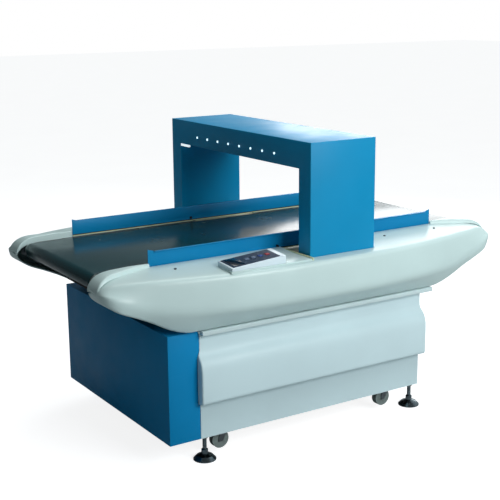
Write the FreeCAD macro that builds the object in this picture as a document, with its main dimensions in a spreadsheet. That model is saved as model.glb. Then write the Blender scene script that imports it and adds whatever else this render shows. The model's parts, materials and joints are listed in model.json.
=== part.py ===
import FreeCAD, Part
import os
import Sketcher
from FreeCAD import Vector

# Conveyor metal detector: a belt conveyor on a cabinet base, with an arch shaped detection
# head over the belt.  Millimetres.  +X is the way the belt carries goods, -Y is the
# operator's side, +Z is up.  The origin is on the floor, under the middle of the machine.

DOC = FreeCAD.newDocument("conveyor_metal_detector")
SHEET = DOC.addObject("Spreadsheet::Sheet", "Sizes")

DRIVING = {
    # belt and rollers
    "belt_top": 750, "belt_width": 600, "belt_thickness": 3,
    "roller_radius": 26.7, "roller_overhang": 16, "tail_roller_inset": 54, "drive_roller_inset": 74,
    "shaft_radius": 8, "drive_shaft_radius": 10, "tension_travel": 15,
    "return_roller_radius": 20, "return_roller_x": 400,
    "running_gap": 0.3, "fit_gap": 0.05,
    # conveyor bed
    "bed_plate_clearance": 29, "bed_plate_thickness": 6, "bed_plate_drop": 5,
    "bed_plate_depth": 90, "bed_plate_nose": 30, "nose_low": 45, "nose_high": 71,
    "chin_inset": 88, "cheek_inset": 44, "cheek_low": 35, "cheek_high": 83, "brow_inset": 70,
    "bed_sheet_thickness": 2, "bed_sheet_margin": 36,
    "member_width": 40, "member_height": 25, "outer_member_x": 700,
    "inner_member_x": 350, "outfeed_member_x": 450,
    "stand_width": 40, "outer_stand_x": 480, "stand_plate": 4, "arch_stand_inset": 70,
    "arch_arm_depth": 25, "pan_length": 163, "pan_depth": 88, "pan_wall": 2,
    "bearing_length": 20, "bearing_radius": 24, "block_height": 26, "block_length": 40,
    "block_thickness": 22, "tension_screw_radius": 5, "tension_screw_length": 60,
    "screw_head_flange": 3, "screw_head_length": 6, "lug_gap": 20, "lug_thickness": 8,
    # drive
    "gearmotor_out": 95, "gearmotor_drop": 105, "gearmotor_length": 96, "gearmotor_height": 80,
    "gearmotor_depth": 70, "motor_radius": 36, "motor_length": 150,
    "sprocket_radius": 18, "sprocket_width": 6, "sprocket_gap": 6, "chain_height": 4,
    # detection head
    "head_x": 64.5, "head_length": 307, "arch_half_width": 530, "leg_thickness": 77,
    "tunnel_height": 327, "beam_height": 105, "arch_wall": 3, "arch_seat": 600,
    "coil_thickness": 40, "coil_inset": 20,
    "lower_head_top": 744, "lower_head_depth": 44, "lower_head_inset": 4,
    "lamp_radius": 4.5, "lamp_pitch": 85, "lamp_height": 40, "lamp_offset": 8.5,
    "lamp_proud": 2,
    "light_length": 70, "light_height": 10, "light_depth": 8,
    # guide rails
    "rail_half_length": 676, "rail_inset": 8, "rail_thickness": 2, "rail_gap": 3,
    "rail_height": 59, "rail_lip": 12, "rail_horn_length": 26, "rail_horn_height": 7,
    "rail_tab_width": 30, "rail_tab_depth": 28, "eye_x": 112, "eye_height": 12,
    "eye_radius": 4, "eye_flange": 2, "eye_flange_depth": 3,
    # side covers
    "cover_half_length": 920, "cover_wall": 5, "cover_top": 757,
    "cover_lap": 4, "cover_gap": 3, "keel_half_width": 475,
    "crease_half_width": 594, "strake_half_width": 602, "strake_height": 606,
    "crease_height": 745, "leg_cutout_gap": 10, "leg_cutout_play": 3, "cover_opening": 580,
    "cover_screw_inset": 72, "cover_screw_radius": 5, "cover_screw_length": 19, "slot_length": 34,
    "slot_width": 10, "slot_behind": 83, "hole_overrun": 10,
    # base
    "base_half_length": 535, "base_half_width": 453, "base_bottom": 94, "deck_top": 520,
    "deck_rim": 17, "deck_wall": 3, "deck_half_width": 480, "deck_overhang": 44,
    "frame_inset": 8, "angle_width": 40, "angle_wall": 5,
    "panel_wall": 4, "panel_seam": 1, "band_out": 35, "band_end": 10, "band_lap": 3, "band_low": 212,
    "band_high": 425, "band_slope": 30,
    "cabinet_length": 131, "cabinet_top": 517, "cabinet_wall": 2, "end_panel_wall": 2,
    # electrics
    "plate_thickness": 3, "plate_half_width": 420, "plate_low": 160, "plate_high": 440,
    "unit_depth": 90, "unit_width": 220, "unit_height": 190, "inverter_depth": 110,
    "inverter_width": 90, "inverter_height": 150, "unit_gap": 60, "unit_rise": 30,
    # operator's box
    "box_x": 338.5, "box_length": 233, "box_width": 102, "box_y": 511, "box_front": 11,
    "box_rise_along": 18.5, "box_rise_across": 7.8, "box_wall": 2.5, "plinth_rise": 7,
    "plinth_margin": 4, "fascia_margin": 8, "fascia_end_margin": 22, "fascia_edge": 6,
    "fascia_thickness": 2, "display_length": 46, "display_width": 78, "display_thickness": 1,
    "key_size": 17, "key_pitch": 30, "key_travel": 1.2, "key_proud": 1.6, "key_gap": 0.4,
    # mains inlet and switch
    "inlet_width": 60, "inlet_height": 48, "inlet_depth": 30, "inlet_y": 250,
    "inlet_z": 180, "inlet_flange": 3, "inlet_margin": 4, "rocker_width": 14,
    "rocker_height": 22, "rocker_radius": 9, "rocker_proud": 2.5, "rocker_ridge": 3, "rocker_tilt": 2,
    "socket_width": 24, "socket_height": 16, "socket_floor": 6, "socket_pin_radius": 1.5,
    "socket_pin_length": 16, "socket_pin_pitch": 7,
    # feet and casters
    "foot_x": 507, "foot_y": 431, "foot_radius": 44, "foot_height": 24, "foot_rim": 4,
    "foot_neck_radius": 13, "foot_neck_height": 40, "stem_radius": 8, "stem_top": 126,
    "lock_nut_radius": 13, "lock_nut_height": 8, "boss_radius": 13,
    "caster_x": 400, "caster_y": 405, "caster_trail": 28, "wheel_radius": 36,
    "wheel_width": 25, "wheel_centre": 57, "wheel_bore": 4, "fork_wall": 3,
    "caster_plate": 64, "caster_plate_thickness": 4, "caster_pin_radius": 6,
    "crown_radius": 24, "crown_height": 8, "fork_play": 1.5, "fork_front": 14, "fork_back": 18,
    "fork_eye": 9, "pin_end_gap": 0.5, "shelf_margin": 4,
}


class Size:
    """A length that knows its number and the sheet expression that gives it."""

    def __init__(self, text, number):
        self.text = text
        self.number = float(number)

    def __add__(self, other):
        other = as_size(other)
        return Size(f"({self.text} + {other.text})", self.number + other.number)

    def __sub__(self, other):
        other = as_size(other)
        return Size(f"({self.text} - {other.text})", self.number - other.number)

    def __mul__(self, other):
        other = as_size(other)
        return Size(f"({self.text} * {other.text})", self.number * other.number)

    def __truediv__(self, other):
        other = as_size(other)
        return Size(f"({self.text} / {other.text})", self.number / other.number)

    def __radd__(self, other):
        return as_size(other) + self

    def __rsub__(self, other):
        return as_size(other) - self

    def __rmul__(self, other):
        return as_size(other) * self

    def __neg__(self):
        return Size(f"(0 - {self.text})", -self.number)


def as_size(value):
    """A plain number as a Size, and a Size as it is."""
    return value if isinstance(value, Size) else Size(f"({float(value)})", value)


class Sizes:
    """Every driving dimension of the sheet, by its name."""

    def __init__(self, values):
        for row, (name, number) in enumerate(values.items(), start=1):
            SHEET.set(f"A{row}", name)
            SHEET.set(f"B{row}", str(number))
            SHEET.setAlias(f"B{row}", name)
            setattr(self, name, Size(f"Sizes.{name}", number))


S = Sizes(DRIVING)
DOC.recompute()
NODES = []
ENDS = (-1, 1)
SIDES = (-1, 1)


# ---------------------------------------------------------------- builders

def bind(item, name, value):
    """Tie a property to the sheet."""
    item.setExpression(name, as_size(value).text)


def node(item, label):
    """Names a finished sub-part and puts it on the list to write."""
    item.Label = label
    NODES.append(item)
    return item


def place(item, x, y, z):
    """Moves an object's own corner or centre to a point."""
    for axis, value in zip("xyz", (x, y, z)):
        bind(item, f"Placement.Base.{axis}", value)
    return item


def block(label, x, y, z):
    """A box between a low and a high plane on each axis."""
    box = DOC.addObject("Part::Box", label)
    bind(box, "Length", x[1] - x[0])
    bind(box, "Width", y[1] - y[0])
    bind(box, "Height", z[1] - z[0])
    return place(box, x[0], y[0], z[0])


TURNS = {
    "x": FreeCAD.Rotation(Vector(0, 1, 0), 90),
    "y": FreeCAD.Rotation(Vector(1, 0, 0), -90),
    "z": FreeCAD.Rotation(),
}


def rod(label, axis, radius, start, length):
    """A cylinder from a start point along +X, +Y or +Z."""
    cylinder = DOC.addObject("Part::Cylinder", label)
    bind(cylinder, "Radius", radius)
    bind(cylinder, "Height", length)
    cylinder.Placement = FreeCAD.Placement(Vector(), TURNS[axis])
    return place(cylinder, *start)


def fuse(label, *shapes):
    """One solid out of several that meet."""
    joined = DOC.addObject("Part::MultiFuse", label)
    joined.Shapes = list(shapes)
    joined.Refine = True
    return joined


def group(label, *shapes):
    """Separate solids that share one node."""
    compound = DOC.addObject("Part::Compound", label)
    compound.Links = list(shapes)
    return compound


def cut(label, base, *tools):
    """The base with each tool's space taken out."""
    result = DOC.addObject("Part::Cut", label)
    result.Base = base
    result.Tool = tools[0] if len(tools) == 1 else fuse(f"{label} tools", *tools)
    return result


def mirrored(label, source, normal=Vector(0, 1, 0)):
    """The same piece on the other side of the machine."""
    twin = DOC.addObject("Part::Mirroring", label)
    twin.Source = source
    twin.Normal = normal
    return twin


def sketch_on(body, role, points, offset):
    """A closed outline of straight runs, each corner held by two distances from the origin."""
    sketch = body.newObject("Sketcher::SketchObject", f"{body.Label} outline")
    plane = next(item for item in body.Origin.OriginFeatures if item.Role == role)
    sketch.AttachmentSupport = [(plane, "")]
    sketch.MapMode = "FlatFace"
    bind(sketch, "AttachmentOffset.Base.z", offset)
    corners = [(as_size(x), as_size(y)) for x, y in points]
    spots = [Vector(x.number, y.number, 0) for x, y in corners]
    count = len(spots)
    for index in range(count):
        sketch.addGeometry(Part.LineSegment(spots[index], spots[(index + 1) % count]), False)
    for index in range(count):
        sketch.addConstraint(Sketcher.Constraint("Coincident", index, 2, (index + 1) % count, 1))
    for index, corner in enumerate(corners):
        for kind, value, axis in (("DistanceX", corner[0], -2), ("DistanceY", corner[1], -1)):
            if value.number == 0:
                sketch.addConstraint(Sketcher.Constraint("PointOnObject", index, 1, axis))
                continue
            rule = sketch.addConstraint(
                Sketcher.Constraint(kind, -1, 1, index, 1, value.number))
            bind(sketch, f"Constraints[{rule}]", value)
    return sketch


PLANES = {"x": "YZ_Plane", "y": "XZ_Plane", "z": "XY_Plane"}


def start_offset(axis, low, high):
    """The sketch plane's offset: the XZ plane looks towards -Y, so it starts at the high side."""
    return -as_size(high) if axis == "y" else as_size(low)


def pad(body, axis, points, low, high):
    """Adds a prism between two planes square to an axis."""
    feature = body.newObject("PartDesign::Pad", "Pad")
    feature.Profile = sketch_on(body, PLANES[axis], points, start_offset(axis, low, high))
    bind(feature, "Length", high - low)
    return feature


def pocket(body, axis, points, low, high):
    """Takes a prism between two planes out of a body."""
    feature = body.newObject("PartDesign::Pocket", "Pocket")
    feature.Profile = sketch_on(body, PLANES[axis], points, start_offset(axis, low, high))
    bind(feature, "Length", high - low)
    feature.Reversed = True
    return feature


def rectangle(low, high):
    """The corners of a rectangle."""
    return [low, (high[0], low[1]), high, (low[0], high[1])]


def lathe(body, axis_role, points, offset=0):
    """Turns an outline of (radius, height) about the body's upright axis."""
    feature = body.newObject("PartDesign::Revolution", "Revolution")
    sketch = sketch_on(body, axis_role, points, offset)
    feature.Profile = sketch
    feature.ReferenceAxis = (sketch, ["V_Axis"])
    feature.Angle = 360
    return feature


def new_body(label):
    """An empty body."""
    return DOC.addObject("PartDesign::Body", label)


def both_sides(inner, outer, side):
    """A pair of Y planes, on the -Y or the +Y side."""
    return (-outer, -inner) if side < 0 else (as_size(inner), as_size(outer))


# ---------------------------------------------------------------- belt and rollers

BELT_HALF = S.belt_width / 2
BELT_UNDER = S.belt_top - S.belt_thickness
ROLLER_Z = BELT_UNDER - S.running_gap - S.roller_radius
BELT_INNER_RADIUS = S.roller_radius + S.running_gap
BELT_OUTER_RADIUS = BELT_INNER_RADIUS + S.belt_thickness
BELT_BOTTOM = ROLLER_Z - BELT_OUTER_RADIUS
TAIL_X = S.cover_half_length - S.tail_roller_inset
DRIVE_X = S.cover_half_length - S.drive_roller_inset
ROLLER_HALF = BELT_HALF + S.roller_overhang
PLATE_INNER = ROLLER_HALF + S.bed_plate_clearance
PLATE_OUTER = PLATE_INNER + S.bed_plate_thickness
COVER_INNER = PLATE_INNER - S.cover_lap
PLATE_TOP = S.belt_top - S.bed_plate_drop
PLATE_BOTTOM = PLATE_TOP - S.bed_plate_depth
RETURN_Z = BELT_BOTTOM - S.running_gap - S.return_roller_radius
BLOCK_INNER = PLATE_OUTER + S.running_gap
BLOCK_OUTER = BLOCK_INNER + S.block_thickness


def belt_loop(label, radius, half_width):
    """A solid as wide as the belt, round both end rollers."""
    start = (-TAIL_X, -half_width, ROLLER_Z)
    tail = rod(f"{label} tail", "y", radius, start, 2 * half_width)
    drive = rod(f"{label} drive", "y", radius,
                (DRIVE_X, -half_width, ROLLER_Z), 2 * half_width)
    runs = block(f"{label} runs", (-TAIL_X, DRIVE_X),
                 (-half_width, half_width), (ROLLER_Z - radius, ROLLER_Z + radius))
    return fuse(label, tail, drive, runs)


node(cut("belt", belt_loop("belt outside", BELT_OUTER_RADIUS, BELT_HALF),
         belt_loop("belt inside", BELT_INNER_RADIUS, BELT_HALF + 1)), "belt")


def roller(label, radius, shaft_radius, x, z, shaft_reach):
    """A roller across the bed with a shaft out of each end."""
    drum = rod(f"{label} drum", "y", radius, (x, -ROLLER_HALF, z), 2 * ROLLER_HALF)
    reach = shaft_reach[0] + shaft_reach[1]
    shaft = rod(f"{label} shaft", "y", shaft_radius, (x, -shaft_reach[0], z), reach)
    return node(fuse(label, drum, shaft), label)


BEARING_OUTER = PLATE_OUTER + S.bearing_length
SPROCKET_INNER = BEARING_OUTER + S.sprocket_gap
SPROCKET_OUTER = SPROCKET_INNER + S.sprocket_width
roller("drive_roller", S.roller_radius, S.drive_shaft_radius, DRIVE_X, ROLLER_Z,
       (BEARING_OUTER, SPROCKET_OUTER))
roller("tail_roller", S.roller_radius, S.shaft_radius, -TAIL_X, ROLLER_Z,
       (BLOCK_OUTER, BLOCK_OUTER))
for name, side in (("infeed_return_roller", -1), ("outfeed_return_roller", 1)):
    roller(name, S.return_roller_radius, S.shaft_radius, side * S.return_roller_x, RETURN_Z,
           (PLATE_OUTER, PLATE_OUTER))

bearings = []
for side in SIDES:
    y_low, y_high = both_sides(PLATE_OUTER, BEARING_OUTER, side)
    housing = rod("bearing housing", "y", S.bearing_radius,
                  (DRIVE_X, y_low, ROLLER_Z), S.bearing_length)
    bore = rod("bearing bore", "y", S.drive_shaft_radius + S.fit_gap,
               (DRIVE_X, y_low - 1, ROLLER_Z), S.bearing_length + 2)
    bearings.append(cut("drive bearing", housing, bore))
node(group("drive_bearings", *bearings), "drive_bearings")

BLOCK_END = S.block_length / 2 - TAIL_X
SCREW_Y = (BLOCK_INNER + BLOCK_OUTER) / 2
SCREW_END = BLOCK_END + S.tension_screw_length
LUG_START = BLOCK_END + S.tension_travel + S.lug_gap
LUG_X = (LUG_START, LUG_START + S.lug_thickness)
take_ups = []
for side in SIDES:
    y_low, y_high = both_sides(BLOCK_INNER, BLOCK_OUTER, side)
    housing = block("take-up housing", (BLOCK_END - S.block_length, BLOCK_END), (y_low, y_high),
                    (ROLLER_Z - S.block_height / 2, ROLLER_Z + S.block_height / 2))
    bore = rod("take-up bore", "y", S.shaft_radius + S.fit_gap,
               (-TAIL_X, y_low - 1, ROLLER_Z), S.block_thickness + 2)
    take_ups.append(cut("take-up block", housing, bore))
    screw = rod("take-up screw", "x", S.tension_screw_radius,
                (BLOCK_END, side * SCREW_Y, ROLLER_Z), S.tension_screw_length)
    head = rod("take-up screw head", "x", S.tension_screw_radius + S.screw_head_flange,
               (SCREW_END, side * SCREW_Y, ROLLER_Z), S.screw_head_length)
    take_ups.append(fuse("tension screw", screw, head))
node(group("tail_take_ups", *take_ups), "tail_take_ups")

# ---------------------------------------------------------------- conveyor bed

HEAD_LOW = S.head_x - S.head_length / 2
HEAD_HIGH = S.head_x + S.head_length / 2
LOWER_HEAD_X = (HEAD_LOW + S.lower_head_inset, HEAD_HIGH - S.lower_head_inset)
LOWER_HEAD_Z = (S.lower_head_top - S.lower_head_depth, S.lower_head_top)
LEG_INNER = S.arch_half_width - S.leg_thickness


def bed_plate(label, side):
    """A side plate, whose ends are cut back to keep clear of the covers' noses."""
    low, high = both_sides(PLATE_INNER, PLATE_OUTER, side)
    tail_end = -(TAIL_X + S.bed_plate_nose)
    drive_end = DRIVE_X + S.bed_plate_nose
    cheek_low = PLATE_BOTTOM + S.cheek_low
    cheek_high = PLATE_BOTTOM + S.cheek_high
    outline = [
        (S.chin_inset - S.cover_half_length, PLATE_BOTTOM),
        (S.cheek_inset - S.cover_half_length, cheek_low),
        (tail_end, PLATE_BOTTOM + S.nose_low), (tail_end, PLATE_BOTTOM + S.nose_high),
        (S.cheek_inset - S.cover_half_length, cheek_high),
        (S.brow_inset - S.cover_half_length, PLATE_TOP),
        (S.cover_half_length - S.brow_inset, PLATE_TOP),
        (drive_end, cheek_high), (drive_end, cheek_low),
        (S.cover_half_length - S.chin_inset, PLATE_BOTTOM),
    ]
    body = new_body(f"{label} blank")
    pad(body, "y", outline, low, high)
    slot_half = S.shaft_radius + S.running_gap
    pocket(body, "y", rectangle((-TAIL_X - slot_half, ROLLER_Z - slot_half),
                                (slot_half + S.tension_travel - TAIL_X,
                                 ROLLER_Z + slot_half)), low, high)
    pocket(body, "y", rectangle((LOWER_HEAD_X[0], LOWER_HEAD_Z[0]),
                                (LOWER_HEAD_X[1], PLATE_TOP)), low, high)
    lug_y = both_sides(PLATE_OUTER, BLOCK_OUTER, side)
    lug = block(f"{label} lug", LUG_X, lug_y, (ROLLER_Z - S.block_height / 2, PLATE_TOP))
    tools = [
        rod(f"{label} drive hole", "y", S.drive_shaft_radius + 2,
            (DRIVE_X, low - 1, ROLLER_Z), S.bed_plate_thickness + 2),
        rod(f"{label} screw hole", "x", S.tension_screw_radius + S.running_gap,
            (LUG_X[0] - 1, side * SCREW_Y, ROLLER_Z), LUG_X[1] - LUG_X[0] + 2),
    ]
    for end in ENDS:
        tools.append(rod(f"{label} return hole", "y", S.shaft_radius + S.fit_gap,
                         (end * S.return_roller_x, low - 1, RETURN_Z),
                         S.bed_plate_thickness + 2))
    return node(cut(label, fuse(f"{label} with lug", body, lug), *tools), label)


bed_plate("front_bed_plate", -1)
bed_plate("rear_bed_plate", 1)

SHEET_BOTTOM = BELT_UNDER - S.bed_sheet_thickness
node(block("slider_bed", (S.bed_sheet_margin - TAIL_X,
                          DRIVE_X - S.bed_sheet_margin),
           (-ROLLER_HALF, ROLLER_HALF), (SHEET_BOTTOM, BELT_UNDER)), "slider_bed")

MEMBERS_X = (-S.outer_member_x, -S.inner_member_x, S.outfeed_member_x, S.outer_member_x)
members = []
for centre in MEMBERS_X:
    half = S.member_width / 2
    members.append(block("cross member", (centre - half, centre + half),
                         (-PLATE_INNER, PLATE_INNER),
                         (SHEET_BOTTOM - S.member_height, SHEET_BOTTOM)))
node(group("cross_members", *members), "cross_members")

node(block("lower_detector_head", LOWER_HEAD_X, (-LEG_INNER, LEG_INNER), LOWER_HEAD_Z),
     "lower_detector_head")

STAND_Y = PLATE_INNER + S.bed_plate_thickness / 2
ARM_TOP = S.arch_seat


def stand(centre, with_arms):
    """A cross frame from the deck to the bed plates, with arms out to the arch's legs."""
    half = S.stand_width / 2
    x_planes = (centre - half, centre + half)
    parts = [block("stand tie", x_planes, (half - STAND_Y, STAND_Y - half),
                   (ARM_TOP - S.stand_width, ARM_TOP))]
    for side in SIDES:
        middle = side * STAND_Y
        parts.append(block("stand post", x_planes, (middle - half, middle + half),
                           (S.deck_top, PLATE_BOTTOM)))
        parts.append(block("stand foot", (centre - half * 1.5, centre + half * 1.5),
                           (middle - half * 1.5, middle + half * 1.5),
                           (S.deck_top, S.deck_top + S.stand_plate)))
        if with_arms:
            parts.append(block("arch arm", x_planes,
                               both_sides(STAND_Y + half, S.arch_half_width, side),
                               (ARM_TOP - S.arch_arm_depth, ARM_TOP)))
    return fuse("stand", *parts)


node(group("bed_stands",
           stand(-S.outer_stand_x, False), stand(HEAD_LOW + S.arch_stand_inset, True),
           stand(HEAD_HIGH - S.arch_stand_inset, True), stand(S.outer_stand_x, False)),
     "bed_stands")

# Drive train places, used by the outfeed pan.
MOTOR_X = S.base_half_length + S.gearmotor_out
MOTOR_Z = ROLLER_Z - S.gearmotor_drop
PAN_INNER_X = S.base_half_length + 5
PAN_END_X = PAN_INNER_X + S.pan_length
PAN_Z = (PLATE_BOTTOM - S.pan_depth, BELT_BOTTOM - 7)
PAN_TOP = PAN_Z[1]


def pan(end):
    """An open tray under the belt between the base and the end roller."""
    near, far = (-PAN_END_X, -PAN_INNER_X) if end < 0 else (PAN_INNER_X, PAN_END_X)
    wall = S.pan_wall
    outside = block("pan outside", (near, far), (-PLATE_INNER, PLATE_INNER), PAN_Z)
    inside = block("pan inside", (near + wall, far - wall),
                   (wall - PLATE_INNER, PLATE_INNER - wall), (PAN_Z[0] + wall, PAN_TOP + 1))
    if end < 0:
        return cut("infeed pan", outside, inside)
    hole = rod("pan shaft hole", "y", S.drive_shaft_radius + 2,
               (MOTOR_X, PLATE_INNER - wall - 1, MOTOR_Z), wall + 2)
    return cut("outfeed pan", outside, inside, hole)


node(group("belly_pans", pan(-1), pan(1)), "belly_pans")

# ---------------------------------------------------------------- drive train

GEARBOX_OUTER = PLATE_INNER - S.pan_wall
GEARBOX_INNER = GEARBOX_OUTER - S.gearmotor_depth
gearbox = block("gearbox", (MOTOR_X - S.gearmotor_length / 2,
                            MOTOR_X + S.gearmotor_length / 2),
                (GEARBOX_INNER, GEARBOX_OUTER),
                (MOTOR_Z - S.gearmotor_height / 2, MOTOR_Z + S.gearmotor_height / 2))
motor = rod("motor", "y", S.motor_radius,
            (MOTOR_X, GEARBOX_INNER - S.motor_length, MOTOR_Z), S.motor_length)
node(fuse("gearmotor", gearbox, motor), "gearmotor")

motor_wheel = rod("motor sprocket wheel", "y", S.sprocket_radius,
                  (MOTOR_X, SPROCKET_INNER, MOTOR_Z), S.sprocket_width)
motor_shaft = rod("motor output shaft", "y", S.drive_shaft_radius,
                  (MOTOR_X, GEARBOX_OUTER + S.running_gap, MOTOR_Z),
                  SPROCKET_OUTER - GEARBOX_OUTER - S.running_gap)
node(fuse("motor_sprocket", motor_wheel, motor_shaft), "motor_sprocket")

roller_wheel = rod("roller sprocket wheel", "y", S.sprocket_radius,
                   (DRIVE_X, SPROCKET_INNER, ROLLER_Z), S.sprocket_width)
roller_bore = rod("roller sprocket bore", "y", S.drive_shaft_radius,
                  (DRIVE_X, SPROCKET_INNER - 1, ROLLER_Z), S.sprocket_width + 2)
node(cut("roller_sprocket", roller_wheel, roller_bore), "roller_sprocket")


def chain_face(radius):
    """The flat outline round both sprockets, which are of one size."""
    lower = Vector(MOTOR_X.number, SPROCKET_INNER.number, MOTOR_Z.number)
    upper = Vector(DRIVE_X.number, SPROCKET_INNER.number, ROLLER_Z.number)
    along = (upper - lower).normalize()
    aside = along.cross(Vector(0, 1, 0)) * radius
    edges = [
        Part.LineSegment(lower + aside, upper + aside).toShape(),
        Part.Arc(upper + aside, upper + along * radius, upper - aside).toShape(),
        Part.LineSegment(upper - aside, lower - aside).toShape(),
        Part.Arc(lower - aside, lower - along * radius, lower + aside).toShape(),
    ]
    return Part.Face(Part.Wire(edges))


chain = DOC.addObject("Part::Feature", "drive_chain")
chain_inner = S.sprocket_radius.number + S.running_gap.number
chain_ring = chain_face(chain_inner + S.chain_height.number).cut(chain_face(chain_inner))
chain.Shape = chain_ring.extrude(Vector(0, S.sprocket_width.number, 0))
node(chain, "drive_chain")

# ---------------------------------------------------------------- detection head

TUNNEL_TOP = S.belt_top + S.tunnel_height
ARCH_TOP = TUNNEL_TOP + S.beam_height


def arch_outline(grow):
    """The portal's outline, with its walls moved inwards by a thickness."""
    outer = S.arch_half_width - grow
    inner = LEG_INNER + grow
    return [
        (-outer, S.arch_seat), (-outer, ARCH_TOP - grow), (outer, ARCH_TOP - grow),
        (outer, S.arch_seat), (inner, S.arch_seat), (inner, TUNNEL_TOP + grow),
        (-inner, TUNNEL_TOP + grow), (-inner, S.arch_seat),
    ]


arch = new_body("arch_shell")
pad(arch, "x", arch_outline(as_size(0)), HEAD_LOW, HEAD_HIGH)
pocket(arch, "x", arch_outline(S.arch_wall), HEAD_LOW + S.arch_wall, HEAD_HIGH - S.arch_wall)
node(arch, "arch_shell")

coil_reach = LEG_INNER - S.coil_inset
node(block("upper_coil", (HEAD_LOW + S.arch_wall + S.coil_inset,
                          HEAD_HIGH - S.arch_wall - S.coil_inset),
           (-coil_reach, coil_reach),
           (TUNNEL_TOP + S.arch_wall, TUNNEL_TOP + S.arch_wall + S.coil_thickness)),
     "upper_coil")

lamps = []
for index in range(8):
    lamps.append(rod("lamp", "x", S.lamp_radius,
                     (HEAD_LOW - S.lamp_proud, (index - 3.5) * S.lamp_pitch + S.lamp_offset,
                      TUNNEL_TOP + S.lamp_height), S.lamp_proud))
node(group("indicator_lamps", *lamps), "indicator_lamps")

node(block("tunnel_light", (HEAD_LOW, HEAD_LOW + S.light_depth),
           (LEG_INNER - S.light_length, LEG_INNER), (TUNNEL_TOP - S.light_height, TUNNEL_TOP)),
     "tunnel_light")

# ---------------------------------------------------------------- guide rails

RAIL_LOW = S.belt_top + S.rail_gap
RAIL_HIGH = RAIL_LOW + S.rail_height
RAIL_INNER = PLATE_INNER - S.rail_inset
RAIL_OUTER = RAIL_INNER + S.rail_thickness
EYE_Z = S.belt_top + S.eye_height
TABS_X = (-600, -280, 280, 600)


def guide_rail():
    """The front rail: a folded sheet with a lip along the top and tabs to the bed plate."""
    body = new_body("front rail blank")
    web = (-RAIL_OUTER, -RAIL_INNER)
    inset = S.rail_half_length - S.rail_horn_length
    pad(body, "y", [
        (-S.rail_half_length, RAIL_LOW), (S.rail_half_length, RAIL_LOW),
        (S.rail_half_length, RAIL_HIGH + S.rail_horn_height), (inset, RAIL_HIGH),
        (-inset, RAIL_HIGH), (-S.rail_half_length, RAIL_HIGH + S.rail_horn_height),
    ], *web)
    pad(body, "y", rectangle((-inset, RAIL_HIGH - S.rail_thickness), (inset, RAIL_HIGH)),
        -(RAIL_INNER + S.rail_lip), -RAIL_OUTER)
    for centre in TABS_X:
        low, high = centre - S.rail_tab_width / 2, centre + S.rail_tab_width / 2
        foot = RAIL_LOW - S.rail_tab_depth
        pad(body, "y", rectangle((low, foot), (high, RAIL_LOW)), *web)
        pad(body, "y", rectangle((low, foot), (high, foot + S.rail_tab_depth / 2)),
            -PLATE_INNER, -RAIL_OUTER)
    hole = rod("front rail eye hole", "y", S.eye_radius + S.running_gap,
               (-S.eye_x, -RAIL_OUTER - 1, EYE_Z), S.rail_thickness + 2)
    return cut("front_guide_rail", body, hole)


front_rail = node(guide_rail(), "front_guide_rail")
node(mirrored("rear_guide_rail", front_rail), "rear_guide_rail")

eyes = []
for side in SIDES:
    face = both_sides(RAIL_INNER - S.eye_flange_depth, RAIL_INNER, side)
    barrel = both_sides(RAIL_INNER, RAIL_OUTER + 10, side)
    eyes.append(fuse(
        "photo eye",
        rod("eye flange", "y", S.eye_radius + S.eye_flange, (-S.eye_x, face[0], EYE_Z),
            face[1] - face[0]),
        rod("eye barrel", "y", S.eye_radius, (-S.eye_x, barrel[0], EYE_Z),
            barrel[1] - barrel[0])))
node(group("photo_eyes", *eyes), "photo_eyes")


# ---------------------------------------------------------------- side covers

# Stations along half a cover.  Each row is the distance in from the nose, then how far the
# top, the crease, the strake and the keel lie inside and above their places amidships:
# (in, top drop, crease in, crease drop, strake in, strake rise, keel in, keel rise)
# The sideways ones were drawn for the spans below, and follow the cover's real width.
STATIONS = (
    (0, 44, 180, 36, 178, 100, 58, 174),
    (6, 33, 171, 28, 150, 100, 36, 160),
    (18, 21, 162, 19, 129, 97, 15, 146),
    (36, 11, 151, 12, 116, 90, 0, 132),
    (62, 4, 138, 7, 106, 78, -11, 117),
    (110, 0, 116, 3, 96, 54, -14, 97),
    (180, 0, 92, 1, 84, 33, -10, 65),
    (255, 0, 72, 0, 68, 19, -4, 25),
    (320, 0, 57, 0, 54, 12, -1, 3),
    (345, 0, 52, 0, 49, 10, 0, 0),
    (520, 0, 20, 0, 20, 3, 0, 0),
    (720, 0, 4, 0, 4, 0, 0, 0),
)
CREASE_SPAN = 253
STRAKE_SPAN = 261
KEEL_SPAN = 134
KEEL_Z = S.deck_top + S.cover_gap
CAP_STATIONS = ((244, 4, 12), (160, 27, 13), (90, 49, 10), (40, 63, 4), (15, 69, -5))


def breadth(half_width, station_in, span):
    """How far from the middle a station's line lies, at the cover's real width."""
    return half_width.number - station_in * (half_width.number - COVER_INNER.number) / span


def fairing_wire(station, end, inset):
    """One cross section of a front cover, moved inwards by a thickness."""
    from_nose, top_drop, crease_in, crease_drop, strake_in, strake_rise, keel_in, keel_rise = station
    crease = breadth(S.crease_half_width, crease_in, CREASE_SPAN)
    strake = breadth(S.strake_half_width, strake_in, STRAKE_SPAN)
    keel = breadth(S.keel_half_width, keel_in, KEEL_SPAN)
    x = end * (S.cover_half_length.number - from_nose)
    inner = COVER_INNER.number - inset * 2
    top = S.cover_top.number - top_drop - inset
    corners = [
        (PLATE_OUTER.number - inset * 2, KEEL_Z.number + keel_rise + inset), (inner, top),
        (crease - inset, S.crease_height.number - crease_drop - inset),
        (strake - inset, S.strake_height.number + strake_rise),
        (keel - inset, KEEL_Z.number + keel_rise + inset),
    ]
    points = [Vector(x, -width, height) for width, height in corners]
    return Part.makePolygon(points + points[:1])


def fairing_loft(inset):
    """The whole boat shaped solid, from nose to nose."""
    stations = STATIONS if inset == 0 else STATIONS[1:]
    wires = [fairing_wire(station, -1, inset) for station in stations]
    wires += [fairing_wire(station, 1, inset) for station in reversed(stations)]
    return Part.makeLoft(wires, True, True)


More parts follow.
